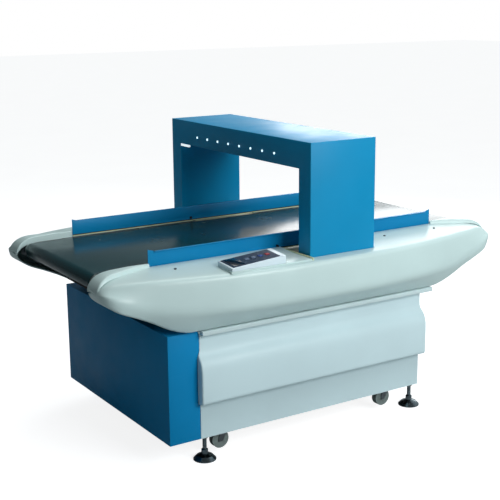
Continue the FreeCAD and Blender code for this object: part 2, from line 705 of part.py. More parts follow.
def cap_loft(end):
    """The raised strip on top of a cover's end, from the rail's end to the nose."""
    wires = []
    for from_nose, width, rise in CAP_STATIONS:
        x = end * (S.cover_half_length.number - from_nose)
        inner = COVER_INNER.number
        top = S.cover_top.number + rise
        low = min(top, S.cover_top.number) - S.cover_wall.number
        corners = [(inner, low), (inner, top), (inner + width, top), (inner + width, low)]
        points = [Vector(x, -across, height) for across, height in corners]
        wires.append(Part.makePolygon(points + points[:1]))
    return Part.makeLoft(wires, True, True)


def side_cover():
    """The front cover: an open backed moulded shell."""
    skin = DOC.addObject("Part::Feature", "front cover skin")
    skin.Shape = fairing_loft(0).cut(fairing_loft(S.cover_wall.number))
    caps = []
    for end in ENDS:
        cap = DOC.addObject("Part::Feature", "front cover cap")
        cap.Shape = cap_loft(end)
        caps.append(cap)
    return fuse("front cover blank", skin, *caps)


def front_block(label, x, across, z):
    """A box on the front side, given by its distances from the middle."""
    return block(label, x, (-across[1], -across[0]), z)


PLINTH_TOP = S.crease_height + S.plinth_rise
PLINTH_LOW = PLINTH_TOP - S.cover_wall * 2
BOX_X = (-S.box_x - S.box_length / 2, S.box_length / 2 - S.box_x)
BOX_INNER = S.box_y - S.box_width / 2
BOX_OUTER = S.box_y + S.box_width / 2
COVER_SCREWS_X = (-605, 369, 638)
COVER_SCREW_Y = COVER_INNER + S.cover_screw_inset
SLOT_X = TAIL_X - S.slot_behind


def finished_cover(label, skin, plinth=()):
    """Seats the shell on the bed and opens it for the stands, the arch and the screws."""
    seat = front_block(f"{label} seat", (-S.rail_half_length, S.rail_half_length),
                       (PLATE_INNER, PLATE_OUTER), (PLATE_TOP, S.cover_top - S.cover_wall + 1))
    tools = [
        front_block(f"{label} stand opening", (-S.cover_opening, S.cover_opening),
                    (COVER_INNER - 10, S.keel_half_width - S.cover_wall * 3),
                    (KEEL_Z - 5, KEEL_Z + S.cover_wall * 2)),
        front_block(f"{label} leg opening",
                    (HEAD_LOW - S.leg_cutout_gap, HEAD_HIGH + S.leg_cutout_play),
                    (COVER_INNER - 10, S.arch_half_width + S.leg_cutout_play),
                    (PLATE_TOP - 5, S.cover_top + 10)),
        front_block(f"{label} tension slot",
                    (-SLOT_X - S.slot_length / 2, S.slot_length / 2 - SLOT_X),
                    (SCREW_Y - S.slot_width / 2, SCREW_Y + S.slot_width / 2),
                    (PLATE_TOP - 5, S.cover_top + S.hole_overrun * 3)),
    ]
    for centre in COVER_SCREWS_X:
        tools.append(rod(f"{label} screw hole", "z", S.cover_screw_radius,
                         (centre, -COVER_SCREW_Y, S.crease_height - S.hole_overrun),
                         S.hole_overrun * 3))
    return cut(label, fuse(f"{label} blank", skin, seat, *plinth), *tools)


COVER_SKIN = side_cover()
box_plinth = front_block("operator's box plinth",
                         (BOX_X[0] - S.plinth_margin, HEAD_LOW - S.leg_cutout_gap),
                         (BOX_INNER - S.plinth_margin, BOX_OUTER + S.plinth_margin / 2),
                         (PLINTH_LOW, PLINTH_TOP))
plain_cover = finished_cover("plain cover", COVER_SKIN)
node(finished_cover("front_side_cover", COVER_SKIN, [box_plinth]), "front_side_cover")
node(mirrored("rear_side_cover", plain_cover), "rear_side_cover")

screws = []
for side in SIDES:
    for centre in COVER_SCREWS_X:
        screws.append(rod("cover screw", "z", S.cover_screw_radius - S.fit_gap,
                          (centre, side * COVER_SCREW_Y, S.crease_height - 8),
                          S.cover_screw_length))
node(group("cover_screws", *screws), "cover_screws")

# ---------------------------------------------------------------- operator's box

X_SLOPE = S.box_rise_along / S.box_length
Y_SLOPE = S.box_rise_across / S.box_width


def lean(x, y, lift):
    """The height of the box's leaning top at a place, plus a lift."""
    return PLINTH_TOP + S.box_front + lift + (x - BOX_X[0]) * X_SLOPE + (y + BOX_OUTER) * Y_SLOPE


def slanted(label, x, y, bottom, top, flat=None):
    """A prism under the leaning top, its faces given as lifts off it, or with a flat bottom."""
    body = new_body(label)
    loft = body.newObject("PartDesign::AdditiveLoft", "Loft")
    outlines = []
    for plane in x:
        low = [flat or lean(plane, edge, bottom) for edge in y]
        corners = [(y[0], low[0]), (y[1], low[1]),
                   (y[1], lean(plane, y[1], top)), (y[0], lean(plane, y[0], top))]
        outlines.append(sketch_on(body, PLANES["x"], corners, plane))
    loft.Profile = outlines[0]
    loft.Sections = outlines[1:]
    loft.Ruled = True
    return body


box_outside = slanted("box outside", BOX_X, (-BOX_OUTER, -BOX_INNER), 0, 0, PLINTH_TOP)
box_space = slanted("box space", (BOX_X[0] + S.box_wall, BOX_X[1] - S.box_wall),
                    (S.box_wall - BOX_OUTER, -BOX_INNER - S.box_wall), 0, -S.box_wall,
                    PLINTH_TOP - 1)
node(cut("control_box", box_outside, box_space), "control_box")

FASCIA_X = (BOX_X[0] + S.fascia_margin, BOX_X[1] - S.fascia_end_margin)
FASCIA_Y = (S.fascia_edge - BOX_OUTER, -BOX_INNER - S.fascia_edge)
DISPLAY_X = (FASCIA_X[0] + S.fascia_margin, FASCIA_X[0] + S.fascia_margin + S.display_length)
DISPLAY_Y = (-S.box_y - S.display_width / 2, S.display_width / 2 - S.box_y)
KEY_NAMES = ("up_key", "down_key", "set_key", "stop_key")
KEY_FLOOR = S.key_travel + S.running_gap


def key_planes(index, grow):
    """The X and Y planes of one key of the row, moved out by a gap."""
    half = S.key_size / 2 + grow
    centre = DISPLAY_X[1] + (index + 1) * S.key_pitch
    return (centre - half, centre + half), (-S.box_y - half, half - S.box_y)


key_holes = []
for index, name in enumerate(KEY_NAMES):
    key_holes.append(slanted(f"{name} hole", *key_planes(index, S.key_gap), -1,
                             S.fascia_thickness + 1))
    node(slanted(name, *key_planes(index, 0), KEY_FLOOR, S.fascia_thickness + S.key_proud), name)
fascia_sheet = slanted("fascia sheet", FASCIA_X, FASCIA_Y, 0, S.fascia_thickness)
node(cut("control_fascia", fascia_sheet, *key_holes), "control_fascia")
node(slanted("display_window", DISPLAY_X, DISPLAY_Y, S.fascia_thickness,
             S.fascia_thickness + S.display_thickness), "display_window")

# ---------------------------------------------------------------- base

FRAME_X = S.base_half_length
FRAME_Y = S.base_half_width - S.frame_inset
FRAME_LOW = S.base_bottom
FRAME_TOP = S.deck_top - S.deck_wall
DECK_LOW = S.deck_top - S.deck_rim
RING_TOP = FRAME_LOW + S.angle_width
SHELF_LOW = RING_TOP - S.angle_wall


def ring(label, z_low, z_high):
    """A rectangle of angle iron: an upright web with a flange inwards along its top."""

    def layer(name, inset, low, high):
        return block(f"{label} {name}", (inset - FRAME_X, FRAME_X - inset),
                     (inset - FRAME_Y, FRAME_Y - inset), (low, high))

    return cut(label, layer("outside", as_size(0), z_low, z_high),
               layer("window", S.angle_width, z_low - 1, z_high + 1),
               layer("under", S.angle_wall, z_low - 1, z_high - S.angle_wall))


def corner_post(end, side):
    """An upright angle in one corner of the frame."""
    web = S.angle_wall
    width = S.angle_width
    outside = block("post outside", both_sides(FRAME_X - width, FRAME_X, end),
                    both_sides(FRAME_Y - width, FRAME_Y, side), (RING_TOP, FRAME_TOP - width))
    inside = block("post inside", both_sides(FRAME_X - width - 1, FRAME_X - web, end),
                   both_sides(FRAME_Y - width - 1, FRAME_Y - web, side),
                   (RING_TOP - 1, FRAME_TOP - width + 1))
    return cut("corner post", outside, inside)


frame_parts = [ring("bottom ring", FRAME_LOW, RING_TOP),
               ring("top ring", FRAME_TOP - S.angle_width, FRAME_TOP)]
stem_bores = []
for end in ENDS:
    for side in SIDES:
        half = S.caster_plate / 2 + S.shelf_margin
        frame_parts.append(corner_post(end, side))
        frame_parts.append(rod("foot boss", "z", S.boss_radius,
                               (end * S.foot_x, side * S.foot_y, FRAME_LOW),
                               SHELF_LOW - FRAME_LOW))
        frame_parts.append(block("caster shelf", (end * S.caster_x - half, end * S.caster_x + half),
                                 both_sides(S.caster_y - half, FRAME_Y, side),
                                 (SHELF_LOW, RING_TOP)))
        stem_bores.append(rod("stem bore", "z", S.stem_radius + S.fit_gap,
                              (end * S.foot_x, side * S.foot_y, FRAME_LOW - 1),
                              S.stem_top + 2 - FRAME_LOW))
node(cut("base_frame", fuse("frame blank", *frame_parts), *stem_bores), "base_frame")

DECK_X = (S.panel_seam - S.base_half_length, S.base_half_length + S.deck_overhang)
deck_outside = block("deck outside", DECK_X, (-S.deck_half_width, S.deck_half_width),
                     (DECK_LOW, S.deck_top))
deck_space = block("deck space", (DECK_X[0] + S.deck_wall, DECK_X[1] - S.deck_wall),
                   (S.deck_wall - S.deck_half_width, S.deck_half_width - S.deck_wall),
                   (DECK_LOW - 1, FRAME_TOP))
deck_mouth = block("deck mouth", (DECK_X[0] - 1, DECK_X[0] + S.deck_wall + 1),
                   (-S.base_half_width, S.base_half_width), (DECK_LOW - 1, FRAME_TOP))
node(cut("base_deck", deck_outside, deck_space, deck_mouth), "base_deck")

BAND_FACE = S.base_half_width + S.band_out
BAND_RATIO = S.band_slope / (BAND_FACE - FRAME_Y)


def band_outline(root, face, shift):
    """The middle band's profile between two depths, moved in by a thickness."""
    rises = [(depth - FRAME_Y) * BAND_RATIO + shift for depth in (root, face)]
    return [(-root, S.band_low + rises[0]), (-face, S.band_low + rises[1]),
            (-face, S.band_high - rises[1]), (-root, S.band_high - rises[0])]


def side_panel():
    """The front panel: a moulded tray whose middle band stands out."""
    body = new_body("front_side_panel")
    ends = (S.panel_seam - S.base_half_length, S.base_half_length)
    wall = S.panel_wall
    hollow = (ends[0] + wall, ends[1] - wall)
    pad(body, "x", rectangle((-S.base_half_width, FRAME_LOW), (-FRAME_Y, FRAME_TOP)), *ends)
    pad(body, "x", band_outline(FRAME_Y, BAND_FACE, 0), *ends)
    pad(body, "x", band_outline(S.base_half_width + S.band_lap, BAND_FACE, 0),
        ends[0] - S.band_end, ends[1] + S.band_end)
    pocket(body, "x", rectangle((wall - S.base_half_width, FRAME_LOW + wall),
                                (1 - FRAME_Y, FRAME_TOP - wall)), *hollow)
    pocket(body, "x", band_outline(FRAME_Y - 1, BAND_FACE - wall, wall), *hollow)
    return body


front_panel = node(side_panel(), "front_side_panel")
node(mirrored("rear_side_panel", front_panel), "rear_side_panel")

CABINET_X = (-S.base_half_length - S.cabinet_length, -S.base_half_length)
cabinet_outside = block("cabinet outside", CABINET_X,
                        (-S.base_half_width, S.base_half_width), (FRAME_LOW, S.cabinet_top))
cabinet_space = block("cabinet space", (CABINET_X[0] + S.cabinet_wall, CABINET_X[1] + 1),
                      (S.cabinet_wall - S.base_half_width, S.base_half_width - S.cabinet_wall),
                      (FRAME_LOW + S.cabinet_wall, S.cabinet_top - S.cabinet_wall))
node(cut("infeed_cabinet", cabinet_outside, cabinet_space), "infeed_cabinet")

END_FACE = S.base_half_length + S.end_panel_wall
INLET_FACE = END_FACE + S.inlet_flange
INLET_LOW_X = END_FACE - S.inlet_depth
INLET_Y = (S.inlet_y - S.inlet_width / 2, S.inlet_y + S.inlet_width / 2)
INLET_Z = (S.inlet_z - S.inlet_height / 2, S.inlet_z + S.inlet_height / 2)
INLET_BODY_Y = (INLET_Y[0] + S.inlet_margin, INLET_Y[1] - S.inlet_margin)
INLET_BODY_Z = (INLET_Z[0] + S.inlet_margin, INLET_Z[1] - S.inlet_margin)
end_sheet = block("end panel sheet", (S.base_half_length, END_FACE), (-FRAME_Y, FRAME_Y),
                  (FRAME_LOW, FRAME_TOP - S.end_panel_wall))
inlet_hole = block("inlet hole", (S.base_half_length - 1, END_FACE + 1), INLET_BODY_Y,
                   INLET_BODY_Z)
node(cut("outfeed_end_panel", end_sheet, inlet_hole), "outfeed_end_panel")

ROCKER_HALF = S.rocker_width / 2
ROCKER_X = INLET_FACE - S.rocker_radius + S.rocker_proud
ROCKER_Y = INLET_BODY_Y[1] - ROCKER_HALF - S.inlet_margin
ROCKER_SPACE = ROCKER_HALF + S.running_gap
SOCKET_Y = INLET_BODY_Y[0] + S.inlet_margin
SOCKET_LOW_X = INLET_LOW_X + S.socket_floor
inlet_flange = block("inlet flange", (END_FACE, INLET_FACE), INLET_Y, INLET_Z)
inlet_body = block("inlet body", (INLET_LOW_X, END_FACE), INLET_BODY_Y, INLET_BODY_Z)
rocker_space = block("rocker space", (ROCKER_X - S.rocker_radius - 1, INLET_FACE + 1),
                     (ROCKER_Y - ROCKER_SPACE, ROCKER_Y + ROCKER_SPACE),
                     (S.inlet_z - S.rocker_height / 2, S.inlet_z + S.rocker_height / 2))
socket_space = block("socket space", (SOCKET_LOW_X, INLET_FACE + 1),
                     (SOCKET_Y, SOCKET_Y + S.socket_width),
                     (S.inlet_z - S.socket_height / 2, S.inlet_z + S.socket_height / 2))
inlet_shell = cut("inlet shell", fuse("inlet outside", inlet_flange, inlet_body),
                  rocker_space, socket_space)
socket_pins = []
for index in (-1, 0, 1):
    socket_pins.append(rod("socket pin", "x", S.socket_pin_radius,
                           (SOCKET_LOW_X - 1, SOCKET_Y + S.socket_width / 2
                            + index * S.socket_pin_pitch, S.inlet_z), S.socket_pin_length))
node(fuse("mains_inlet", inlet_shell, *socket_pins), "mains_inlet")
rocker_drum = rod("rocker drum", "y", S.rocker_radius,
                  (ROCKER_X, ROCKER_Y - ROCKER_HALF, S.inlet_z), S.rocker_width)
rocker_ridge = block("rocker ridge", (ROCKER_X, ROCKER_X + S.rocker_radius + 1),
                     (ROCKER_Y - ROCKER_HALF, ROCKER_Y + ROCKER_HALF),
                     (S.inlet_z + S.rocker_tilt - S.rocker_ridge / 2,
                      S.inlet_z + S.rocker_tilt + S.rocker_ridge / 2))
node(fuse("power_rocker", rocker_drum, rocker_ridge), "power_rocker")

# ---------------------------------------------------------------- electrics

PLATE_X = (S.angle_wall - S.base_half_length,
           S.angle_wall + S.plate_thickness - S.base_half_length)
UNIT_LOW = S.plate_low + S.unit_rise
node(block("electrics_plate", PLATE_X, (-S.plate_half_width, S.plate_half_width),
           (S.plate_low, S.plate_high)), "electrics_plate")
node(block("detector_unit", (PLATE_X[1], PLATE_X[1] + S.unit_depth),
           (-S.unit_gap / 2 - S.unit_width, -S.unit_gap / 2),
           (UNIT_LOW, UNIT_LOW + S.unit_height)), "detector_unit")
node(block("motor_inverter", (PLATE_X[1], PLATE_X[1] + S.inverter_depth),
           (S.unit_gap / 2, S.unit_gap / 2 + S.inverter_width),
           (UNIT_LOW, UNIT_LOW + S.inverter_height)), "motor_inverter")

# ---------------------------------------------------------------- feet and casters

CORNERS = (("front_infeed", -1, -1), ("front_outfeed", 1, -1),
           ("rear_infeed", -1, 1), ("rear_outfeed", 1, 1))
PLATE_LOW = SHELF_LOW - S.caster_plate_thickness
CROWN_TOP = PLATE_LOW - S.running_gap
CROWN_LOW = CROWN_TOP - S.crown_height
LEG_REACH = (S.wheel_width / 2 + S.fork_play, S.wheel_width / 2 + S.fork_play + S.fork_wall)


def leveling_foot(label, end, side):
    """A foot turned in one piece: a domed pad, a neck and a threaded stem."""
    body = new_body(label)
    rise = S.foot_height - S.foot_rim
    lathe(body, "XZ_Plane", [
        (0, 0), (S.foot_radius, 0), (S.foot_radius, S.foot_rim),
        (S.foot_radius * 0.72, S.foot_rim + rise * 0.62), (S.foot_neck_radius, S.foot_height),
        (S.foot_neck_radius, S.foot_neck_height),
        (S.stem_radius, S.foot_neck_height + S.foot_rim), (S.stem_radius, S.stem_top),
        (0, S.stem_top),
    ])
    return node(place(body, end * S.foot_x, side * S.foot_y, 0), label)


def lock_nut(end, side):
    """A nut on the stem, under the frame."""
    low = FRAME_LOW - S.lock_nut_height
    outside = rod("nut outside", "z", S.lock_nut_radius,
                  (end * S.foot_x, side * S.foot_y, low), S.lock_nut_height)
    bore = rod("nut bore", "z", S.stem_radius + S.fit_gap,
               (end * S.foot_x, side * S.foot_y, low - 1), S.lock_nut_height + 2)
    return cut("lock nut", outside, bore)


def caster_plate(end, side):
    """The square plate under the frame's shelf, with the swivel's hole."""
    half = S.caster_plate / 2
    x = end * S.caster_x
    y = side * S.caster_y
    sheet = block("caster plate sheet", (x - half, x + half), (y - half, y + half),
                  (PLATE_LOW, SHELF_LOW))
    hole = rod("caster plate hole", "z", S.caster_pin_radius + S.fit_gap, (x, y, PLATE_LOW - 1),
               S.caster_plate_thickness + 2)
    return cut("caster plate", sheet, hole)


def caster_fork(label, end, side):
    """A trailing fork: crown, swivel pin, two legs and the wheel's axle."""
    x = end * S.caster_x
    y = side * S.caster_y
    eye = x - S.caster_trail
    crown = rod("fork crown", "z", S.crown_radius, (x, y, CROWN_LOW), S.crown_height)
    pin = rod("fork pin", "z", S.caster_pin_radius, (x, y, CROWN_LOW),
              SHELF_LOW - S.pin_end_gap - CROWN_LOW)
    legs = new_body(f"{label} legs")
    outline = [
        (eye - S.fork_eye, S.wheel_centre - S.fork_eye),
        (eye + S.fork_eye, S.wheel_centre - S.fork_eye),
        (x + S.fork_front, CROWN_LOW), (x + S.fork_front, CROWN_TOP),
        (x - S.fork_back, CROWN_TOP), (x - S.fork_back, CROWN_LOW),
        (eye - S.fork_eye, S.wheel_centre + S.fork_eye),
    ]
    pad(legs, "y", outline, y - LEG_REACH[1], y - LEG_REACH[0])
    right = new_body(f"{label} right leg")
    pad(right, "y", outline, y + LEG_REACH[0], y + LEG_REACH[1])
    axle = rod("fork axle", "y", S.wheel_bore, (eye, y - LEG_REACH[1], S.wheel_centre),
               2 * LEG_REACH[1])
    return node(fuse(label, crown, pin, legs, right, axle), label)


def caster_wheel(label, end, side):
    """A wheel with a bore for the axle."""
    x = end * S.caster_x - S.caster_trail
    low = side * S.caster_y - S.wheel_width / 2
    tyre = rod("wheel tyre", "y", S.wheel_radius, (x, low, S.wheel_centre), S.wheel_width)
    bore = rod("wheel bore", "y", S.wheel_bore + S.fit_gap, (x, low - 1, S.wheel_centre),
               S.wheel_width + 2)
    return node(cut(label, tyre, bore), label)


for name, end, side in CORNERS:
    leveling_foot(f"{name}_foot", end, side)
    caster_fork(f"{name}_caster_fork", end, side)
    caster_wheel(f"{name}_caster_wheel", end, side)
node(group("foot_lock_nuts", *[lock_nut(end, side) for name, end, side in CORNERS]),
     "foot_lock_nuts")
node(group("caster_plates", *[caster_plate(end, side) for name, end, side in CORNERS]),
     "caster_plates")


# ---------------------------------------------------------------- write

def check_document():
    """Stops if any object failed to build."""
    DOC.recompute()
    for item in DOC.Objects:
        if "Invalid" in item.State or "Error" in item.State:
            raise RuntimeError(f"{item.Label} failed: {item.State}")


def write_parts():
    """Writes each sub-part to its own STEP file."""
    os.makedirs("parts", exist_ok=True)
    for item in NODES:
        shape = item.Shape
        if shape.isNull() or not shape.isValid():
            raise RuntimeError(f"{item.Label} has no valid shape")
        shape.exportStep(f"parts/{item.Label}.step")


check_document()
write_parts()
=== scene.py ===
"""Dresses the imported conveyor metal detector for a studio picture."""
import json
import logging
import math
from dataclasses import dataclass, field
from enum import Enum
from typing import Sequence

import bmesh
import bpy
from mathutils import Matrix, Vector


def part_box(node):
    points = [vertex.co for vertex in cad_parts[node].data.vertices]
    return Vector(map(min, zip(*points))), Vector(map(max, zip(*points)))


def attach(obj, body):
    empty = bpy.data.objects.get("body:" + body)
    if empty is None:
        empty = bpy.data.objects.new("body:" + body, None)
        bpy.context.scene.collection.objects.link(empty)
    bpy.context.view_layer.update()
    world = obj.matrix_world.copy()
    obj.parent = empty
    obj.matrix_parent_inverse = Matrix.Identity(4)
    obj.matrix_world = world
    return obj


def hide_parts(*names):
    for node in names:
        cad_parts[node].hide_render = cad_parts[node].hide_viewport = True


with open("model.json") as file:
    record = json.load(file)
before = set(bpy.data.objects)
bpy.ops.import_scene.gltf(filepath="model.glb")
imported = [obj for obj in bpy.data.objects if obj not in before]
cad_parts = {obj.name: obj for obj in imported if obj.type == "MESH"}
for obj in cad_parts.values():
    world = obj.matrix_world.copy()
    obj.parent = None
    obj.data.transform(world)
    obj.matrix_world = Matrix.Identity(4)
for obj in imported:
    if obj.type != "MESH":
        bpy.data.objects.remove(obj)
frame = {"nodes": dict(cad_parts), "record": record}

logging.basicConfig(level=logging.INFO, format="%(message)s")
LOG = logging.getLogger("scene")
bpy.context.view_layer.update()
MM = 0.001
FRONT = -1
REAR = 1
SIDES = (FRONT, REAR)
ENDS = (-1, 1)
SHARP_EDGE = 32.0
NOISE_MIDDLE = (0.3, 0.7)
DISPLAY_FULL = 255
Point = tuple[float, float]
Spot = tuple[float, float, float]


# ---------------------------------------------------------------- finishes

class Grain(Enum):
    """What breaks up a finish's surface."""

    PAINT = "powder coat with a fine orange peel"
    MOULDED = "gel coat with a broad, shallow waviness"
    BRUSHED = "fine parallel scratches"
    CAST = "coarse, uneven metal"
    FABRIC = "the fine emboss of a coated belt"
    SOFT = "matt rubber or plastic"
    MACHINED = "turned or plated metal"


@dataclass(frozen=True)
class Finish:
    """One surface finish.

    Args:
        name: the material's name.
        colour: display colour, red, green and blue from 0 to 255.
        grain: the kind of surface detail.
        roughness: the middle of the roughness range.
        metallic: 1 for bare metal, 0 otherwise.
        vary: how far the colour drifts, as a share.
        shine: how strongly the surface mirrors; 0.5 is ordinary plastic or paint.
        glow: strength of its own light.
        grime: how dark the worn or dusty places get.
    """

    name: str
    colour: tuple[int, int, int]
    grain: Grain
    roughness: float
    metallic: float = 0.0
    vary: float = 0.06
    shine: float = 0.5
    glow: float = 0.0
    grime: float = 0.0


BLUE_PAINT = (8, 144, 194)
HEAD_BLUE = Finish("head blue", BLUE_PAINT, Grain.PAINT, 0.38, vary=0.05, shine=0.22)
# the rail and cabinet blues are the head's blue painted darker: painted shade for the rails and for
# the cabinet under the cover's nose
RAIL_BLUE_SHADED = Finish("rail blue with painted shade", (5, 132, 186), Grain.PAINT, 0.36, vary=0.05, shine=0.2)
CABINET_BLUE_SHADED = Finish("cabinet blue with painted shade", (7, 128, 182), Grain.PAINT, 0.4, vary=0.05, shine=0.12)
COVER_WHITE = Finish("cover white", (198, 222, 221), Grain.MOULDED, 0.36, vary=0.03, shine=0.4)
PANEL_WHITE = Finish("panel white", (200, 224, 229), Grain.MOULDED, 0.42, vary=0.03, shine=0.3)
DECK_WHITE = Finish("deck white", (196, 216, 218), Grain.PAINT, 0.42, vary=0.03, shine=0.3)
BOX_WHITE = Finish("box white", (214, 232, 240), Grain.PAINT, 0.36, vary=0.02, shine=0.4)
# cream for the leg's edge trim, and for the painted highlight strip under each rail's foot
CREAM_TRIM_AND_PAINTED_HIGHLIGHT = Finish("cream edging and painted highlight", (214, 222, 178), Grain.SOFT, 0.5, shine=0.3)
BELT_GREEN = Finish("belt green", (4, 54, 60), Grain.FABRIC, 0.24, vary=0.14, shine=0.5)
ROLLER_GREY = Finish("roller grey", (140, 152, 150), Grain.MACHINED, 0.35, 1.0)
STEEL = Finish("brushed steel", (120, 126, 130), Grain.BRUSHED, 0.36, 1.0, grime=0.3)
ZINC = Finish("zinc", (150, 152, 146), Grain.MACHINED, 0.34, 1.0, grime=0.3)
BRASS = Finish("yellow zinc", (138, 116, 60), Grain.MACHINED, 0.4, 1.0, grime=0.4)
CHROME = Finish("dark chrome", (128, 140, 146), Grain.MACHINED, 0.2, 1.0, grime=0.5)
BLACK = Finish("black plastic", (12, 14, 16), Grain.SOFT, 0.5, shine=0.3)
DARK_PAN = Finish("dark tray", (10, 20, 26), Grain.PAINT, 0.55, shine=0.15)
FRAME_GREY = Finish("frame grey", (40, 48, 52), Grain.PAINT, 0.5, shine=0.3)
FASCIA_DARK = Finish("fascia", (30, 52, 76), Grain.SOFT, 0.36, shine=0.4)
GLASS_DARK = Finish("display", (14, 26, 40), Grain.SOFT, 0.14, shine=0.6)
KEY_GREY = Finish("grey key", (84, 104, 130), Grain.SOFT, 0.5, shine=0.3)
KEY_BLUE = Finish("blue key", (32, 70, 140), Grain.SOFT, 0.45, shine=0.3)
KEY_RED = Finish("red key", (150, 34, 42), Grain.SOFT, 0.42, shine=0.3)
LAMP = Finish("lamp lens", (214, 244, 250), Grain.SOFT, 0.2, glow=1.4)
# glowing white bar in the tunnel's top corner: a painted glint, not a lamp
TUNNEL_GLINT = Finish("painted glint", (236, 246, 250), Grain.SOFT, 0.3, glow=0.8)
TYRE = Finish("caster tyre", (120, 134, 132), Grain.SOFT, 0.55, grime=0.4)
UNIT_GREY = Finish("unit grey", (112, 120, 126), Grain.SOFT, 0.5)
MOTOR_GREY = Finish("motor grey", (70, 80, 88), Grain.CAST, 0.45)
CHAIN = Finish("oiled chain", (66, 66, 62), Grain.MACHINED, 0.32, 1.0, grime=0.4)
COIL = Finish("coil resin", (186, 180, 146), Grain.SOFT, 0.55)


def linear(value: float) -> float:
    """Turns a 0 to 255 display value into scene linear light.

    Args:
        value: the display value.

    Returns:
        The linear value from 0 to 1.
    """
    share = value / DISPLAY_FULL
    return share / 12.92 if share <= 0.04045 else ((share + 0.055) / 1.055) ** 2.4


@dataclass
class Wiring:
    """Adds nodes to one material, left to right.

    Args:
        tree: the material's node tree.
        coordinates: the socket that gives object coordinates.
    """

    tree: bpy.types.NodeTree
    coordinates: bpy.types.NodeSocket

    def noise(self, scale: float, detail: float = 3.0, stretch: Spot = (1, 1, 1)):
        """Makes a noise texture over object coordinates.

        Args:
            scale: the noise's scale, per metre.
            detail: its octaves.
            stretch: how far each axis is squeezed.

        Returns:
            The noise's factor socket.
        """
        mapping = self.tree.nodes.new("ShaderNodeMapping")
        mapping.inputs["Scale"].default_value = stretch
        texture = self.tree.nodes.new("ShaderNodeTexNoise")
        texture.inputs["Scale"].default_value = scale
        texture.inputs["Detail"].default_value = detail
        self.tree.links.new(self.coordinates, mapping.inputs["Vector"])
        self.tree.links.new(mapping.outputs["Vector"], texture.inputs["Vector"])
        return texture.outputs["Fac"]

    def ranged(self, source, low: float, high: float):
        """Maps the middle of a noise on to a range.

        Args:
            source: the noise's socket.
            low: the value at the noise's low end.
            high: the value at its high end.

        Returns:
            The mapped socket.
        """
        node = self.tree.nodes.new("ShaderNodeMapRange")
        node.inputs["From Min"].default_value = NOISE_MIDDLE[0]
        node.inputs["From Max"].default_value = NOISE_MIDDLE[1]
        node.inputs["To Min"].default_value = low
        node.inputs["To Max"].default_value = high
        self.tree.links.new(source, node.inputs["Value"])
        return node.outputs["Result"]

    def tint(self, source, dark: Spot, light: Spot):
        """Mixes two colours by a factor.

        Args:
            source: the factor's socket.
            dark: the colour at 0.
            light: the colour at 1.

        Returns:
            The colour socket.
        """
        ramp = self.tree.nodes.new("ShaderNodeValToRGB")
        for element, place, colour in zip(ramp.color_ramp.elements, NOISE_MIDDLE, (dark, light)):
            element.position = place
            element.color = (*colour, 1)
        self.tree.links.new(source, ramp.inputs["Fac"])
        return ramp.outputs["Color"]

    def worn(self, base, dark: Spot, amount: float):
        """Darkens a colour in worn patches.

        Args:
            base: the colour socket.
            dark: the colour of the worn places.
            amount: how much of it shows.

        Returns:
            The colour socket.
        """
        node = self.tree.nodes.new("ShaderNodeMix")
        node.data_type = "RGBA"
        node.inputs["B"].default_value = (*dark, 1)
        patches = self.ranged(self.noise(*WORN_PATCHES), 0.0, amount)
        self.tree.links.new(patches, node.inputs["Factor"])
        self.tree.links.new(base, node.inputs["A"])
        return node.outputs["Result"]

    def bump(self, source, strength: float, distance: float):
        """Turns a height into a normal.

        Args:
            source: the height's socket.
            strength: the bump's strength.
            distance: its depth, in metres.

        Returns:
            The normal socket.
        """
        node = self.tree.nodes.new("ShaderNodeBump")
        node.inputs["Strength"].default_value = strength
        node.inputs["Distance"].default_value = distance
        self.tree.links.new(source, node.inputs["Height"])
        return node.outputs["Normal"]


# For each grain: bump noise scale, its detail, its stretch, strength and depth in metres.
GRAINS: dict[Grain, tuple[float, float, Spot, float, float]] = {
    Grain.PAINT: (420, 2, (1, 1, 1), 0.10, 0.0004),
    Grain.MOULDED: (26, 2, (1, 1, 1), 0.10, 0.0018),
    Grain.BRUSHED: (60, 4, (1, 30, 30), 0.12, 0.0003),
    Grain.CAST: (180, 5, (1, 1, 1), 0.4, 0.0008),
    Grain.FABRIC: (700, 1, (1, 2, 1), 0.08, 0.0003),
    Grain.SOFT: (500, 3, (1, 1, 1), 0.14, 0.0003),
    Grain.MACHINED: (240, 3, (1, 1, 8), 0.08, 0.0002),
}


